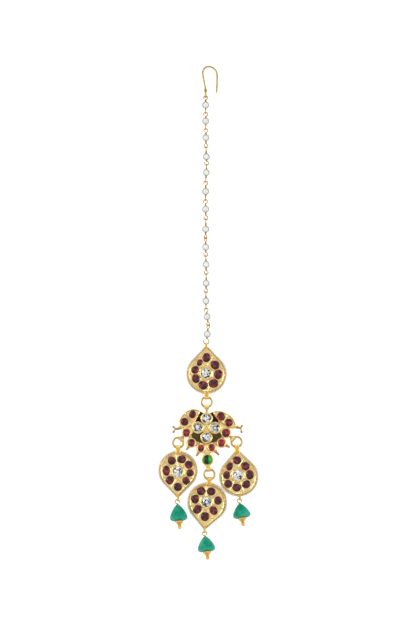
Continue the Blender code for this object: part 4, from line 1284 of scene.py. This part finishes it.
@dataclass
class PearDrop:
    """A pear-shaped drop: a gold plate, a wall, a top with garnets in cells, a diamond, pearls round it."""

    name: str
    size: float
    lean: float
    ring_end: End
    diamond: Plan
    garnets: list[Stone]
    seed: int
    width: float = 16.8
    length: float = 19.8
    tip_radius: float = 1.45
    height: float = 2.5
    flange_height: float = 0.4
    flange_inset: float = 0.25
    seed_dia: float = 0.82
    pearl_dia: float = 0.93
    seat_gap: float = 0.25
    diamond_dia: float = 4.3
    collet_wall: float = 0.5
    collet_rise: float = 0.3
    collet_tip: float = 3.7
    collet_lap: float = 0.2
    collet_sink: float = 0.8
    stone_slack: float = 0.03
    stone_depth: float = 1.5
    stone_rise: float = 0.15
    pearl_pitch: float = 1.02
    string_dia: float = 0.5
    line_dia: float = 0.4
    line_rise: float = 0.75
    tab_share: float = 0.85
    tab_overlap: float = 0.85
    tab_thickness: float = 0.5

    def __post_init__(self) -> None:
        """Work out the drop's own sizes and where it lies, from its diamond's solid."""
        self.half = self.width * self.size / 2
        self.tip = self.length * self.size - self.half
        self.stone = self._place(*self.diamond)
        turn = Matrix.Rotation(math.radians(self.lean), 4, "Z")
        found = centre_of(f"{self.name}_drop_diamond")
        origin = Vector((found.x, found.y, 0)) - turn @ Vector((*self.stone, 0))
        self.place = Matrix.Translation(origin) @ turn
        self.pear = Pear(self.half, self.tip, self.tip_radius)
        self.border_height = self.flange_height + self.seat_gap + self.seed_dia / 2

    def _place(self, across: float, along: float) -> Plan:
        """A place in the drop from its shares of half the width and of the way to either end."""
        return across * self.half, along * (self.tip if along > 0 else self.half)

    def build(self, wires: WireTree, seeds: SeedTree) -> None:
        """Make the drop's pieces."""
        inset = self.seed_dia + self.seat_gap
        stones = [Oval(*self._place(across, along), wide * self.half, long * self.half, turn)
                  for across, along, wide, long, turn in self.garnets]
        collet = self.diamond_dia / 2 + self.collet_wall + self.collet_lap / 2
        cells = CellPlate(self.pear.ring(240, inset), np.array(self.stone), stones, self.flange_height / 2,
                          self.height, (*self.stone, collet))
        form = Form(PALE_GOLD, RIM_GOLD, WALL_GOLD, TAB_GOLD, BACK_GOLD)
        cells.body(form, self.place, WALL_GOLD, PALE_GOLD)
        self._flange(form)
        self._collet(form)
        self._bails(form)
        form.build(f"{self.name}_setting", [f"{self.name}_drop_setting"])

        garnets = Form(GARNET)
        cells.cabochons(garnets, self.place)
        garnets.build(f"{self.name}_garnets", sharp=50)

        stone = Form(DIAMOND)
        bottom = self.height + self.collet_rise + self.stone_rise - self.stone_depth
        spot = self.place @ Matrix.Translation((*self.stone, bottom))
        Brilliant(self.diamond_dia / 2, self.stone_depth).cut(stone, spot, self.seed)
        stone.build(f"{self.name}_diamond", [f"{self.name}_drop_diamond"], 1)
        self._border(wires, seeds)

    def _flange(self, form: Form) -> None:
        """The back plate that carries the wall and the pearls."""
        chamfer = 0.1
        outline, edge = (self.pear.ring(120, self.flange_inset + more) for more in (0.0, chamfer))
        rings = [[(x, y, height) for x, y in ring]
                 for ring, height in ((edge, 0.0), (outline, chamfer),
                                      (outline, self.flange_height - chamfer), (edge, self.flange_height))]
        form.skin([[(0, 0, 0)]] + rings + [[(0, 0, self.flange_height)]], self.place, BACK_GOLD)

    def _collet(self, form: Form) -> None:
        """The diamond's bezel with its pointed end."""
        bezel = Collet(self.diamond_dia / 2 + self.stone_slack, self.collet_wall + self.collet_lap,
                       self.height - self.collet_sink, self.height + self.collet_rise, self.collet_tip)
        bezel.build(form, self.place @ Matrix.Translation((*self.stone, 0)), RIM_GOLD)

    def _bails(self, form: Form) -> None:
        """The two bails and the gold straps that hold them."""
        low = self.border_height + self.seed_dia / 2 + self.seat_gap
        for end in End:
            bail = RING_BAIL if end is self.ring_end else SMALL_BAIL
            reach, sign = (self.tip, 1) if end is End.TIP else (self.half, -1)
            along = reach + bail.bore + bail.wall + self.seat_gap
            centre = self.place @ Vector((0, sign * along, bail.height))
            bail.build(form, centre, self.place.to_3x3() @ RIGHT, RIM_GOLD)
            inside = reach - self.seed_dia - self.seat_gap - self.tab_overlap
            halves = (RING_BAIL.length * self.tab_share / 2, bail.length * self.tab_share / 2)
            self._strap(form, sign, (inside, along), halves, (low, low + self.tab_thickness))

    def _strap(self, form: Form, sign: int, run: Plan, halves: Plan, heights: Plan) -> None:
        """A strap bent over the border, wider over the body, with rounded edges.

        Args:
            form: what the faces go into.
            sign: which end of the drop.
            run: where the strap starts and ends along the drop.
            halves: half its width over the body and at the bail.
            heights: its underside and its top.
        """
        rings = []
        for share, full, sunk in STRAP_RUN:
            half = (halves[0] + (halves[1] - halves[0]) * min(1.0, share * 1.6)) * full
            along = sign * (run[0] + (run[1] - run[0]) * share)
            rings.append([(across * half, along, heights[0] + (heights[1] - heights[0]) * up - sunk)
                          for across, up in STRAP_SECTION])
        form.skin(rings, self.place, TAB_GOLD)

    def _border(self, wires: WireTree, seeds: SeedTree) -> None:
        """The seed pearls on their wire, and the beaded gold wire between them and the wall."""
        path = self.pear.ring(240, self.seed_dia / 2)
        around = [self.place @ Vector((x, y, self.border_height)) for x, y in path]
        length = sum((around[i] - around[i - 1]).length for i in range(len(around)))
        count = round(length / (self.pearl_dia * self.pearl_pitch))
        seeds.string(f"{self.name}_seed_pearls", Strand(around, self.seed_dia, True), self.pearl_dia, count,
                     self.seed, [f"{self.name}_drop_border"])
        line = self.pear.ring(240, self.seed_dia + self.seat_gap * 0.35)
        inner = [self.place @ Vector((x, y, self.flange_height + self.line_rise)) for x, y in line]
        strands = [Strand(around, self.string_dia, True), Strand(inner, self.line_dia, True)]
        wires.draw(f"{self.name}_border_wire", strands, WALL_GOLD, sides=8)


@dataclass
class CentrePiece:
    """The centre piece: two wings and a flower of collets on a dark ground, with forks, posts and bails."""

    half_width: float = 11.7
    plate_height: float = 0.5
    wing_height: float = 2.1
    diamond_collet_height: float = 2.5
    collet_height: float = 2.0
    collet_wall: float = 0.5
    diamond_dia: float = 3.7
    green_dia: float = 3.7
    green_rise: float = 1.0
    green_tip: float = 3.45
    seat_gap: float = 0.25
    stone_rise: float = 0.15
    ruby_rise: float = 0.55
    ruby_lip: float = 0.12
    ruby_sink: float = 0.5
    ruby_slack: float = 0.02
    ruby_seat: float = 0.6
    green_lip: float = 0.04
    green_depth: float = 1.5
    # a dark painted reflection across the green stone: its strength, its place left of the middle, and how
    # fast it fades
    painted_reflection_band: tuple[float, float, float] = (1.8, 0.30, 2.9)
    stone_slack: float = 0.03
    fork_dia: float = 0.8
    fork_swell: float = 0.9
    fork_taper: float = 1.3
    fork_ball: float = 0.68
    tip_share: float = 0.62
    tip_swell: float = 0.6
    post_dia: float = 0.7
    post_root: float = 1.6
    post_start: float = 0.45
    granule_dia: float = 1.0
    neck_dia: float = 0.9
    recess_bottom: float = 0.3
    recess_rise: float = 0.12
    web_steps: tuple[Plan, ...] = ((0.0, 0.3), (1.0, 0.3), (1.0, 1.25), (0.94, 1.5), (0.8, 1.62),
                                   (0.4, 1.68), (0.0, 1.7))
    boss: tuple[Plan, ...] = ((0.0, 0.3), (1.6, 0.3), (1.6, 1.8), (1.35, 2.05), (0.6, 2.15), (0.4, 2.35),
                              (0.0, 2.4))
    boss_place: Plan = (-0.008, 0.125)
    boss_wave: float = 0.12
    diamonds: dict[str, Plan] = field(default_factory=lambda: {
        "top": (0.0, 0.455), "left": (-0.315, 0.13), "right": (0.295, 0.12), "bottom": (-0.01, -0.226)})
    wings: dict[str, tuple[list[Plan], list[Stone]]] = field(
        default_factory=lambda: {
            "left": ([(-0.24, 0.70), (-0.46, 0.79), (-0.69, 0.74), (-0.86, 0.59), (-0.99, 0.39),
                      (-1.0, 0.20), (-0.90, 0.10), (-0.67, 0.11), (-0.545, 0.18), (-0.40, 0.36)],
                     [(-0.51, 0.60, 0.125, 0.145, -15), (-0.79, 0.337, 0.145, 0.145, 0)]),
            "right": ([(0.23, 0.66), (0.41, 0.40), (0.57, 0.27), (0.75, 0.13), (0.93, 0.09), (1.06, 0.17),
                       (1.03, 0.31), (0.93, 0.48), (0.74, 0.63), (0.48, 0.73)],
                      [(0.80, 0.312, 0.135, 0.145, 20), (0.51, 0.527, 0.14, 0.155, 30)])})
    rubies: dict[str, Stone] = field(default_factory=lambda: {
        "left_side": (-0.724, -0.057, 0.12, 0.13, 0), "left_lower": (-0.548, -0.416, 0.12, 0.14, -15),
        "left_foot": (-0.204, -0.61, 0.105, 0.135, 0), "right_foot": (0.18, -0.584, 0.105, 0.135, 10),
        "right_lower": (0.53, -0.423, 0.12, 0.14, 0), "right_side": (0.69, -0.065, 0.14, 0.145, 30)})
    green: Plan = (0.03, -1.025)
    ground: list[Plan] = field(default_factory=lambda: [
        (-0.30, 0.68), (-0.45, 0.30), (-0.72, 0.0), (-0.52, -0.42), (-0.18, -0.70), (0.0, -0.86),
        (0.16, -0.68), (0.52, -0.42), (0.70, 0.0), (0.64, 0.24), (0.48, 0.34), (0.28, 0.66), (0.0, 0.62)])
    recesses: list[list[Plan]] = field(default_factory=lambda: [
        [(-0.27, 0.67), (-0.20, 0.68), (0.0, 0.58), (0.17, 0.66), (0.25, 0.65), (0.42, 0.38), (0.30, 0.26),
         (-0.30, 0.26), (-0.42, 0.38)],
        [(-0.56, -0.10), (-0.50, 0.08), (-0.20, 0.0), (0.18, 0.0), (0.50, 0.08), (0.56, -0.10),
         (0.42, -0.34), (0.0, -0.44), (-0.42, -0.34)]])
    webs: list[list[Plan]] = field(default_factory=lambda: [
        [(-0.74, 0.14), (-0.52, 0.24), (-0.44, 0.12), (-0.46, -0.02), (-0.60, -0.16), (-0.82, -0.10)],
        [(0.46, 0.32), (0.62, 0.24), (0.82, 0.12), (0.80, -0.08), (0.58, -0.16), (0.44, -0.02)],
        [(-0.12, 0.28), (0.10, 0.28), (0.16, 0.12), (0.10, -0.06), (-0.12, -0.06), (-0.18, 0.12)],
        [(-0.24, -0.48), (0.20, -0.48), (0.28, -0.66), (0.10, -0.82), (-0.08, -0.82), (-0.30, -0.66)]])
    fork_stems: list[list[Plan]] = field(default_factory=lambda: [
        [(-0.90, 0.14), (-1.02, 0.09), (-1.13, 0.075)], [(0.98, 0.17), (1.12, 0.13), (1.22, 0.11)]])
    fork_tips: list[list[Plan]] = field(default_factory=lambda: [
        [(-1.195, 0.15), (-1.125, 0.075), (-1.19, -0.03)], [(1.26, 0.185), (1.225, 0.10), (1.25, -0.03)]])
    posts: dict[str, Plan] = field(default_factory=lambda: {
        "left_lower": (-0.71, -0.65), "left_foot": (-0.36, -0.87), "right_foot": (0.42, -0.84),
        "right_lower": (0.79, -0.57)})
    bails: dict[str, tuple[Plan, float, Plan]] = field(default_factory=lambda: {
        "top": ((0.0, 0.867), 90, (0.0, 0.455)), "left": ((-0.912, -0.281), 230, (-0.724, -0.057)),
        "right": ((0.939, -0.276), -40.6, (0.69, -0.065)),
        "bottom": ((0.072, -1.375), -82, (0.03, -1.025))})

    def __post_init__(self) -> None:
        """Find the piece's middle from its top diamond's solid."""
        found = centre_of("centre_diamond_top")
        across, along = self.diamonds["top"]
        self.origin = Vector((found.x - across * self.half_width, found.y - along * self.half_width, 0))
        self.place = Matrix.Translation(self.origin)

    def spot(self, share: Plan, height: float = 0.0) -> Vector:
        """A place in the piece's own plan from its shares."""
        return Vector((share[0] * self.half_width, share[1] * self.half_width, height))

    def point(self, share: Plan, height: float) -> Vector:
        """Such a place in the jewel."""
        return self.origin + self.spot(share, height)

    def at(self, share: Plan, height: float = 0.0) -> Matrix:
        """A frame with its origin at such a place in the jewel."""
        return self.place @ Matrix.Translation(self.spot(share, height))

    def line(self, places: Sequence[Plan], steps: int) -> np.ndarray:
        """A smooth closed line of the plan through places given by their shares."""
        knots = [self.spot(share).xy for share in places]
        return np.array([point[:] for point in smoothed(knots, steps, True)])

    def oval(self, stone: Stone) -> Oval:
        """A cabochon's oval from its shares."""
        return Oval(*(share * self.half_width for share in stone[:4]), stone[4])

    def build(self, wires: WireTree) -> None:
        """Make the centre piece's pieces."""
        form = Form(PALE_GOLD, RIM_GOLD, WALL_GOLD, BLACK_GROUND, OLIVE_GROUND, BACK_GOLD)
        rubies = Form(RUBY)
        self._ground(form)
        self._wings(form, rubies)
        self._collets(form, rubies)
        self._bails(form)
        form.build("centre_setting_gold", ["centre_setting"])
        rubies.build("centre_rubies", sharp=50)
        self._wirework(wires)
        self._stones()

    def _ground(self, form: Form) -> None:
        """The dark ground between the collets, black above and olive below, and the gold webs on it."""
        form.slab(self.line(self.ground, 8), np.array(self.spot((0.0, 0.05)).xy),
                  plain(0.0, self.plate_height), self.place, BACK_GOLD)
        for finish, recess in zip((BLACK_GROUND, OLIVE_GROUND), self.recesses):
            line = self.line(recess, 6)
            steps = plain(self.recess_bottom, self.plate_height + self.recess_rise)
            form.slab(line, line.mean(axis=0), steps, self.place, finish)
        for web in self.webs:
            line = self.line(web, 6)
            form.slab(line, line.mean(axis=0), self.web_steps, self.place, PALE_GOLD)

    def _wings(self, form: Form, rubies: Form) -> None:
        """The two wings with their rubies in cells."""
        for outline, stones in self.wings.values():
            middle = np.array([self.spot(share).xy for share in outline]).mean(axis=0)
            cells = CellPlate(self.line(outline, 9), middle, [self.oval(stone) for stone in stones],
                              self.plate_height / 4, self.wing_height, None, 0.5, 0.34, 0.25, 24,
                              stone_reach=1.02)
            cells.body(form, self.place, WALL_GOLD, PALE_GOLD)
            cells.cabochons(rubies, self.place)

    def _collets(self, form: Form, rubies: Form) -> None:
        """The round bezels, the green stone's pointed one, and the boss where the diamonds' meet."""
        base, wall = self.plate_height / 3, self.collet_wall + self.seat_gap - self.stone_slack
        for share in self.diamonds.values():
            bezel = Collet(self.diamond_dia / 2 + self.stone_slack, wall, base, self.diamond_collet_height)
            bezel.build(form, self.at(share), RIM_GOLD)
        for stone in self.rubies.values():
            oval, spot = self.oval(stone), self.at(stone[:2])
            outer = max(oval.half_width, oval.half_length) + self.collet_wall
            inner = (oval.half_width + oval.half_length) / 2
            bezel = Collet(inner, outer - inner, base, self.collet_height + self.ruby_lip,
                           seat=self.ruby_seat)
            bezel.build(form, spot, RIM_GOLD)
            low, reach = self.collet_height - self.ruby_sink, inner - self.ruby_slack
            profile = [(0.0, low), (reach, low)]
            profile += dome(reach, self.collet_height - self.ruby_lip, self.ruby_rise + self.ruby_lip,
                            (0, 20, 40, 60, 78), 0.8)
            flat = Matrix.Diagonal((oval.half_width / inner, oval.half_length / inner, 1, 1))
            rubies.turned(profile, spot @ Matrix.Rotation(math.radians(oval.turn), 4, "Z") @ flat, 32)
        bezel = Collet(self.green_dia / 2 + self.stone_slack, wall, base,
                       self.collet_height + self.green_lip, self.green_tip, turn=180)
        bezel.build(form, self.at(self.green), RIM_GOLD)
        form.turned(self.boss, self.at(self.boss_place), 24, wave=self.boss_wave, waves=4)

    def _bails(self, form: Form) -> None:
        """The four bails."""
        for share, way, _ in self.bails.values():
            centre = self.point(share, RING_BAIL.height)
            RING_BAIL.build(form, centre, heading(way).cross(OUT), RIM_GOLD)

    def _wirework(self, wires: WireTree) -> None:
        """The necks of the bails, the forks and the posts with their balls, in duller gold."""
        strands = []
        for share, _, collet in self.bails.values():
            far, near = (self.point(end, RING_BAIL.height) for end in (share, collet))
            way = (near - far).normalized()
            strands.append(Strand([far + way * (RING_BAIL.bore + RING_BAIL.wall / 2), near], self.neck_dia))
        fork_height, post_height = self.wing_height / 2, self.collet_height / 2
        for stem in self.fork_stems:
            points = smoothed([self.point(share, fork_height) for share in stem], 5)
            sizes = [self.fork_dia * (1 + self.fork_swell * (1 - share) ** self.fork_taper)
                     for share in shares(len(points))]
            strands.append(Strand(points, sizes))
        for tips in self.fork_tips:
            points = smoothed([self.point(share, fork_height) for share in tips], 6)
            sizes = [self.fork_dia * (self.tip_share + self.tip_swell * abs(share - 0.5))
                     for share in shares(len(points))]
            strands.append(Strand(points, sizes))
        for name, end in self.posts.items():
            start, tip = (self.point(share, post_height) for share in (self.rubies[name][:2], end))
            strands.append(Strand([start.lerp(tip, self.post_start), tip], [self.post_root, self.post_dia]))
        wires.draw("centre_wirework", strands, BRONZE, sides=12)
        balls = Form(BRONZE)
        for end in self.posts.values():
            balls.ball(self.point(end, post_height), self.granule_dia / 2)
        for tips in self.fork_tips:
            for share in (tips[0], tips[-1]):
                balls.ball(self.point(share, fork_height), self.fork_dia * self.fork_ball)
        balls.build("centre_granules", sharp=60)

    def _stones(self) -> None:
        """The four diamonds and the green cabochon."""
        for seed, (name, share) in enumerate(self.diamonds.items(), 40):
            stone, cut = Form(DIAMOND), Brilliant(self.diamond_dia / 2)
            bottom = self.diamond_collet_height + self.stone_rise - cut.depth
            cut.cut(stone, self.at(share, bottom), seed)
            stone.build(f"centre_diamond_{name}_stone", [f"centre_diamond_{name}"], 1)
        green = Form(EMERALD)
        radius, bottom = self.green_dia / 2, self.collet_height + self.stone_rise - self.green_depth
        profile = [(0.0, bottom), (radius, bottom), (radius, self.collet_height)]
        profile += dome(radius, self.collet_height, self.green_rise, (12, 26, 40, 54, 68, 80), 0.85)
        spot = self.at(self.green)
        green.turned(profile, spot, 40)
        # painted reflection: a dark band across the green stone, left of its middle, bright green either side
        most, aside, fall = self.painted_reflection_band
        green.painted_shade_and_pale_band = [min(max(most - abs((spot.inverted() @ point).x / radius + aside) * fall, 0.0), 1.0)
                        for point in green.points]
        green.build("green_cabochon", ["centre_green_stone"], 50)


@dataclass
class BeadDrop:
    """A green stone bead on its pin, with a gold cap and ball below it."""

    name: str
    seed: int
    diameter: float = 7.6
    neck: float = 0.35
    loop_dia: float = 2.25
    wire_dia: float = 0.42
    wrap_dia: float = 0.95
    coil_dia: float = 0.3
    coil_run: Plan = (0.1, 0.6)
    bore_gap: float = 0.15
    cap_dia: float = 3.4
    cap_length: float = 1.8
    ball_dia: float = 1.8
    ball_neck: float = 1.1
    seat_gap: float = 0.25
    petals: int = 8
    petal_wave: float = 0.1
    socket: float = 0.35
    cap_steps: tuple[Plan, ...] = ((0.80, 0.0), (0.94, 0.02), (0.93, 0.28), (0.82, 0.6), (0.66, 0.95),
                                   (0.5, 1.3))
    grain_place: Plan = (0.62, 0.88)
    grain_radius: float = 0.2
    sides: int = 48
    grind: float = 0.014
    lumps: tuple[tuple[float, int, float], ...] = ((0.006, 3, 0.0), (0.005, 5, 0.0), (0.003, 7, 3.0))
    band_place: float = 0.9
    band_width: float = 0.09
    profile: list[Plan] = field(default_factory=lambda: [
        (0.18, 0.0), (0.42, 0.14), (0.70, 0.38), (0.92, 0.64), (1.0, 0.84), (0.88, 0.95), (0.5, 1.0)])

    def __post_init__(self) -> None:
        """Find the bead's axis and ends from its solid and its cap's."""
        bead, cap = (self._corners(f"{self.name}_{kind}") for kind in ("bead", "bead_cap"))
        middle = bead.mean(axis=0)
        way = cap.mean(axis=0) - middle
        way /= np.linalg.norm(way)
        along = (bead - middle) @ way
        self.top = Vector(middle + way * along.min())
        self.way = Vector(way)
        self.length = float(along.max() - along.min())
        side = self.way.cross(Vector((0, 0, 1))).normalized()
        self.place = Matrix((side, -self.way, side.cross(-self.way))).transposed().to_4x4()
        self.place.translation = self.top

    @staticmethod
    def _corners(node: str) -> np.ndarray:
        """The different corners of a CAD node, in millimetres."""
        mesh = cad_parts[node].data
        corners = np.empty(len(mesh.vertices) * 3)
        mesh.vertices.foreach_get("co", corners)
        return np.unique(np.round(corners.reshape(-1, 3) / MM, 4), axis=0)

    def build(self, wires: WireTree) -> None:
        """Make the bead, its cap and its pin."""
        axis = self.place @ Matrix.Rotation(math.radians(90), 4, "X")
        self._bead(axis)
        self._cap(axis)
        self._pin(wires)

    def _bead(self, axis: Matrix) -> None:
        """The bead, a little uneven as hand-cut stone is."""
        play = random.Random(self.seed)
        bore = self.wire_dia / 2 + self.bore_gap
        outline = rounded(rounded(self.profile))
        steps = [(bore, 0.15)] + [(out * self.diameter / 2, down * self.length) for out, down in outline]
        steps.append((bore, self.length - 0.1))
        lumps = [(*lump, play.uniform(0, math.tau)) for lump in self.lumps]
        rings, worn = [], []
        for radius, down in steps:
            ring = []
            for i in range(self.sides):
                angle = math.tau * i / self.sides
                uneven = sum(size * math.cos(count * angle + twist * down / self.length + phase)
                             for size, count, twist, phase in lumps)
                out = radius * (1 + uneven - self.grind) if radius > bore else radius
                ring.append((out * math.cos(angle), out * math.sin(angle), down))
            rings.append(ring)
            # a paler band round the bead near its lower end, kept in the list named worn
            near_edge = max(0.0, 1 - abs(down / self.length - self.band_place) / self.band_width)
            worn.append([near_edge] * self.sides)
        form = Form(GREEN_BEAD)
        form.skin(rings, axis, closed=True, painted_shade_and_pale_band=worn)
        form.build(f"{self.name}_green_bead", [f"{self.name}_bead"], 60)

    def _cap(self, axis: Matrix) -> None:
        """The flower cap under the bead and its ball."""
        start = self.length + self.seat_gap
        end = start + self.cap_length
        bore = self.wire_dia / 2 + self.bore_gap
        form = Form(CAP_GOLD)
        rim = self.cap_dia / 2
        profile = [(0.0, start + self.socket), (bore, start + self.socket)]
        profile += [(rim * share, start + down) for share, down in self.cap_steps]
        profile += [(self.ball_neck / 2, end), (0.0, end + 0.1)]
        form.turned(profile, axis, 64, wave=self.petal_wave, waves=self.petals)
        radius = self.ball_dia / 2
        ball = end + math.sqrt(radius ** 2 - (self.ball_neck / 2) ** 2)
        form.ball(axis @ Vector((0, 0, ball)), radius, 24)
        out, down = self.grain_place
        for x, y in circle(rim * out, self.petals):
            form.ball(axis @ Vector((x, y, start + down)), self.grain_radius, 8)
        form.build(f"{self.name}_cap", [f"{self.name}_bead_cap"], 50)

    def _pin(self, wires: WireTree) -> None:
        """The pin's loop and its coil over the bead."""
        loop = loop_points(UP * (self.neck + self.loop_dia / 2), (self.loop_dia - self.wire_dia) / 2,
                           Level.FLAT, 1)
        shaft = [UP * self.neck, UP * (-self.length - self.seat_gap - 0.9)]
        wide = (self.wrap_dia - self.coil_dia) / 2
        strands = [Strand(loop[::-1] + shaft, self.wire_dia),
                   Strand(coil(self.coil_run, (wide, wide - 0.14), 2.4, 24), self.coil_dia)]
        wires.draw(f"{self.name}_pin", [strand.moved(self.place) for strand in strands], WIRE_GOLD,
                   [f"{self.name}_bead_pin"])


@dataclass
class Studio:
    """The pale table, the soft lights and the camera straight above."""

    view_height: float = 262.08
    view_centre: Plan = (-0.135, 0.117)
    lens: float = 150.0
    table_size: float = 2600.0

    def build(self) -> None:
        """Lay the table, light it and hang the camera."""
        self._table()
        self._sky()
        self._lamp("left_softbox", (-420, 60, 380), (300, 100), 0.65)
        self._lamp("right_softbox", (430, -40, 340), (260, 90), 0.45)
        self._lamp("head_softbox", (0, 520, 420), (200, 80), 0.25)
        self._camera()

    def _table(self) -> None:
        """A round white table, a little bright of itself as a light table is."""
        points = [(x * MM, y * MM, -0.02 * MM) for x, y in circle(self.table_size / 2, 64)]
        mesh = bpy.data.meshes.new("table")
        mesh.from_pydata(points, [], [tuple(range(64))])
        table = linked("table", mesh)
        white = bpy.data.materials.new("table_white")
        white.use_nodes = True
        looks = {"Base Color": (0.93, 0.93, 0.93, 1), "Roughness": 0.9, "Specular IOR Level": 0.0,
                 "Emission Color": (1, 1, 1, 1), "Emission Strength": 0.55}
        for socket, value in looks.items():
            white.node_tree.nodes["Principled BSDF"].inputs[socket].default_value = value
        mesh.materials.append(white)

    def _sky(self) -> None:
        """The studio's walls: dim at the horizon and round the camera, bright between."""
        world = bpy.data.worlds.new("studio")
        world.use_nodes = True
        bpy.context.scene.world = world
        nodes = Nodes(world.node_tree)
        place = nodes.node("ShaderNodeTexCoord", output="Generated")
        height = nodes.node("ShaderNodeSeparateXYZ", {}, {0: place}, "Z")
        tones = nodes.toned(height, (0.0, (0.42, 0.41, 0.39)), (0.3, (0.46, 0.46, 0.45)),
                            (0.62, (1.0, 1.0, 1.0)), (0.80, (0.55, 0.55, 0.55)), (0.93, (1.15, 1.15, 1.15)))
        back = world.node_tree.nodes["Background"].inputs
        nodes.feed(back["Color"], tones)
        back["Strength"].default_value = 0.72

    @staticmethod
    def _lamp(name: str, place: tuple[float, float, float], size: Plan, watts: float) -> None:
        """A soft rectangular lamp that looks at the jewel."""
        light = bpy.data.lights.new(name, "AREA")
        light.shape = "RECTANGLE"
        light.size, light.size_y = size[0] * MM, size[1] * MM
        light.energy = watts
        lamp = linked(name, light)
        lamp.location = Vector(place) * MM
        lamp.rotation_euler = (-Vector(place)).to_track_quat("-Z", "Y").to_euler()

    def _camera(self) -> None:
        """A long lens straight above the jewel."""
        data = bpy.data.cameras.new("camera")
        data.lens = self.lens
        data.sensor_width = 36.0
        distance = self.view_height / 2 * self.lens / (data.sensor_width / 2)
        data.clip_start, data.clip_end = 0.05, 10
        camera = linked("camera", data)
        camera.location = (self.view_centre[0] * MM, self.view_centre[1] * MM, distance * MM)
        bpy.context.scene.camera = camera


def drops() -> list[PearDrop]:
    """The four pear drops, each with its own garnets: across, along, half width, half length and turn."""
    return [
        PearDrop("upper", 1.015, 0.5, End.ROUND, (-0.03, 0.015), [
            (0.01, 0.589, 0.185, 0.215, 0), (0.42, 0.317, 0.19, 0.22, 45), (0.58, -0.03, 0.195, 0.225, -10),
            (0.34, -0.47, 0.225, 0.20, 20), (-0.17, -0.56, 0.215, 0.195, -15),
            (-0.53, -0.23, 0.175, 0.205, 15), (-0.56, 0.147, 0.17, 0.18, -20),
            (-0.33, 0.413, 0.13, 0.155, -20)], 3),
        PearDrop("left", 0.99, 179.7, End.ROUND, (0.01, 0.044), [
            (0.32, -0.50, 0.185, 0.195, 15), (-0.18, -0.57, 0.215, 0.18, 5), (-0.54, -0.30, 0.18, 0.18, 45),
            (-0.61, 0.088, 0.175, 0.165, 0), (-0.41, 0.383, 0.165, 0.20, 40), (0.0, 0.604, 0.19, 0.20, 0),
            (0.41, 0.361, 0.18, 0.21, -40), (0.59, 0.0, 0.17, 0.24, 0)], 5),
        PearDrop("middle", 1.0, 174.5, End.ROUND, (0.04, -0.01), [
            (0.36, -0.54, 0.19, 0.21, 30), (-0.15, -0.56, 0.20, 0.19, 0), (-0.53, -0.14, 0.18, 0.20, 0),
            (-0.36, 0.28, 0.18, 0.21, 40), (0.04, 0.531, 0.20, 0.21, 0), (0.45, 0.295, 0.18, 0.22, -40),
            (0.61, -0.10, 0.175, 0.21, 0)], 8),
        PearDrop("right", 0.99, 3.3, End.TIP, (-0.03, 0.059), [
            (-0.03, 0.619, 0.195, 0.19, 0), (0.37, 0.383, 0.19, 0.20, 40), (0.57, 0.059, 0.18, 0.225, 0),
            (0.36, -0.40, 0.20, 0.18, 40), (-0.13, -0.53, 0.20, 0.19, 0), (-0.54, -0.32, 0.19, 0.185, -30),
            (-0.60, 0.096, 0.165, 0.185, 0), (-0.43, 0.405, 0.15, 0.20, -20)], 11),
    ]


def main() -> None:
    """Build the jewel's parts in order and light them."""
    logging.basicConfig(level=logging.INFO, format="%(name)s %(message)s")
    bpy.context.scene.view_settings.view_transform = "Standard"
    wires, seeds = WireTree(), SeedTree()
    chain = PearlChain()
    top = chain.build(wires)
    hook = Hook()
    pitch = (hook.loop_dia - hook.wire_dia) / 2 + (chain.loop_dia - chain.wire_dia) / 2
    pitch -= (hook.wire_dia + chain.wire_dia) / 2 + chain.link_gap
    hook.build(wires, top + UP * pitch)
    JumpRings().build(wires)
    for drop in drops():
        drop.build(wires, seeds)
    CentrePiece().build(wires)
    for number, name in enumerate(("left", "middle", "right")):
        BeadDrop(name, number + 1).build(wires)
    Studio().build()


if __name__ == "__main__":
    main()
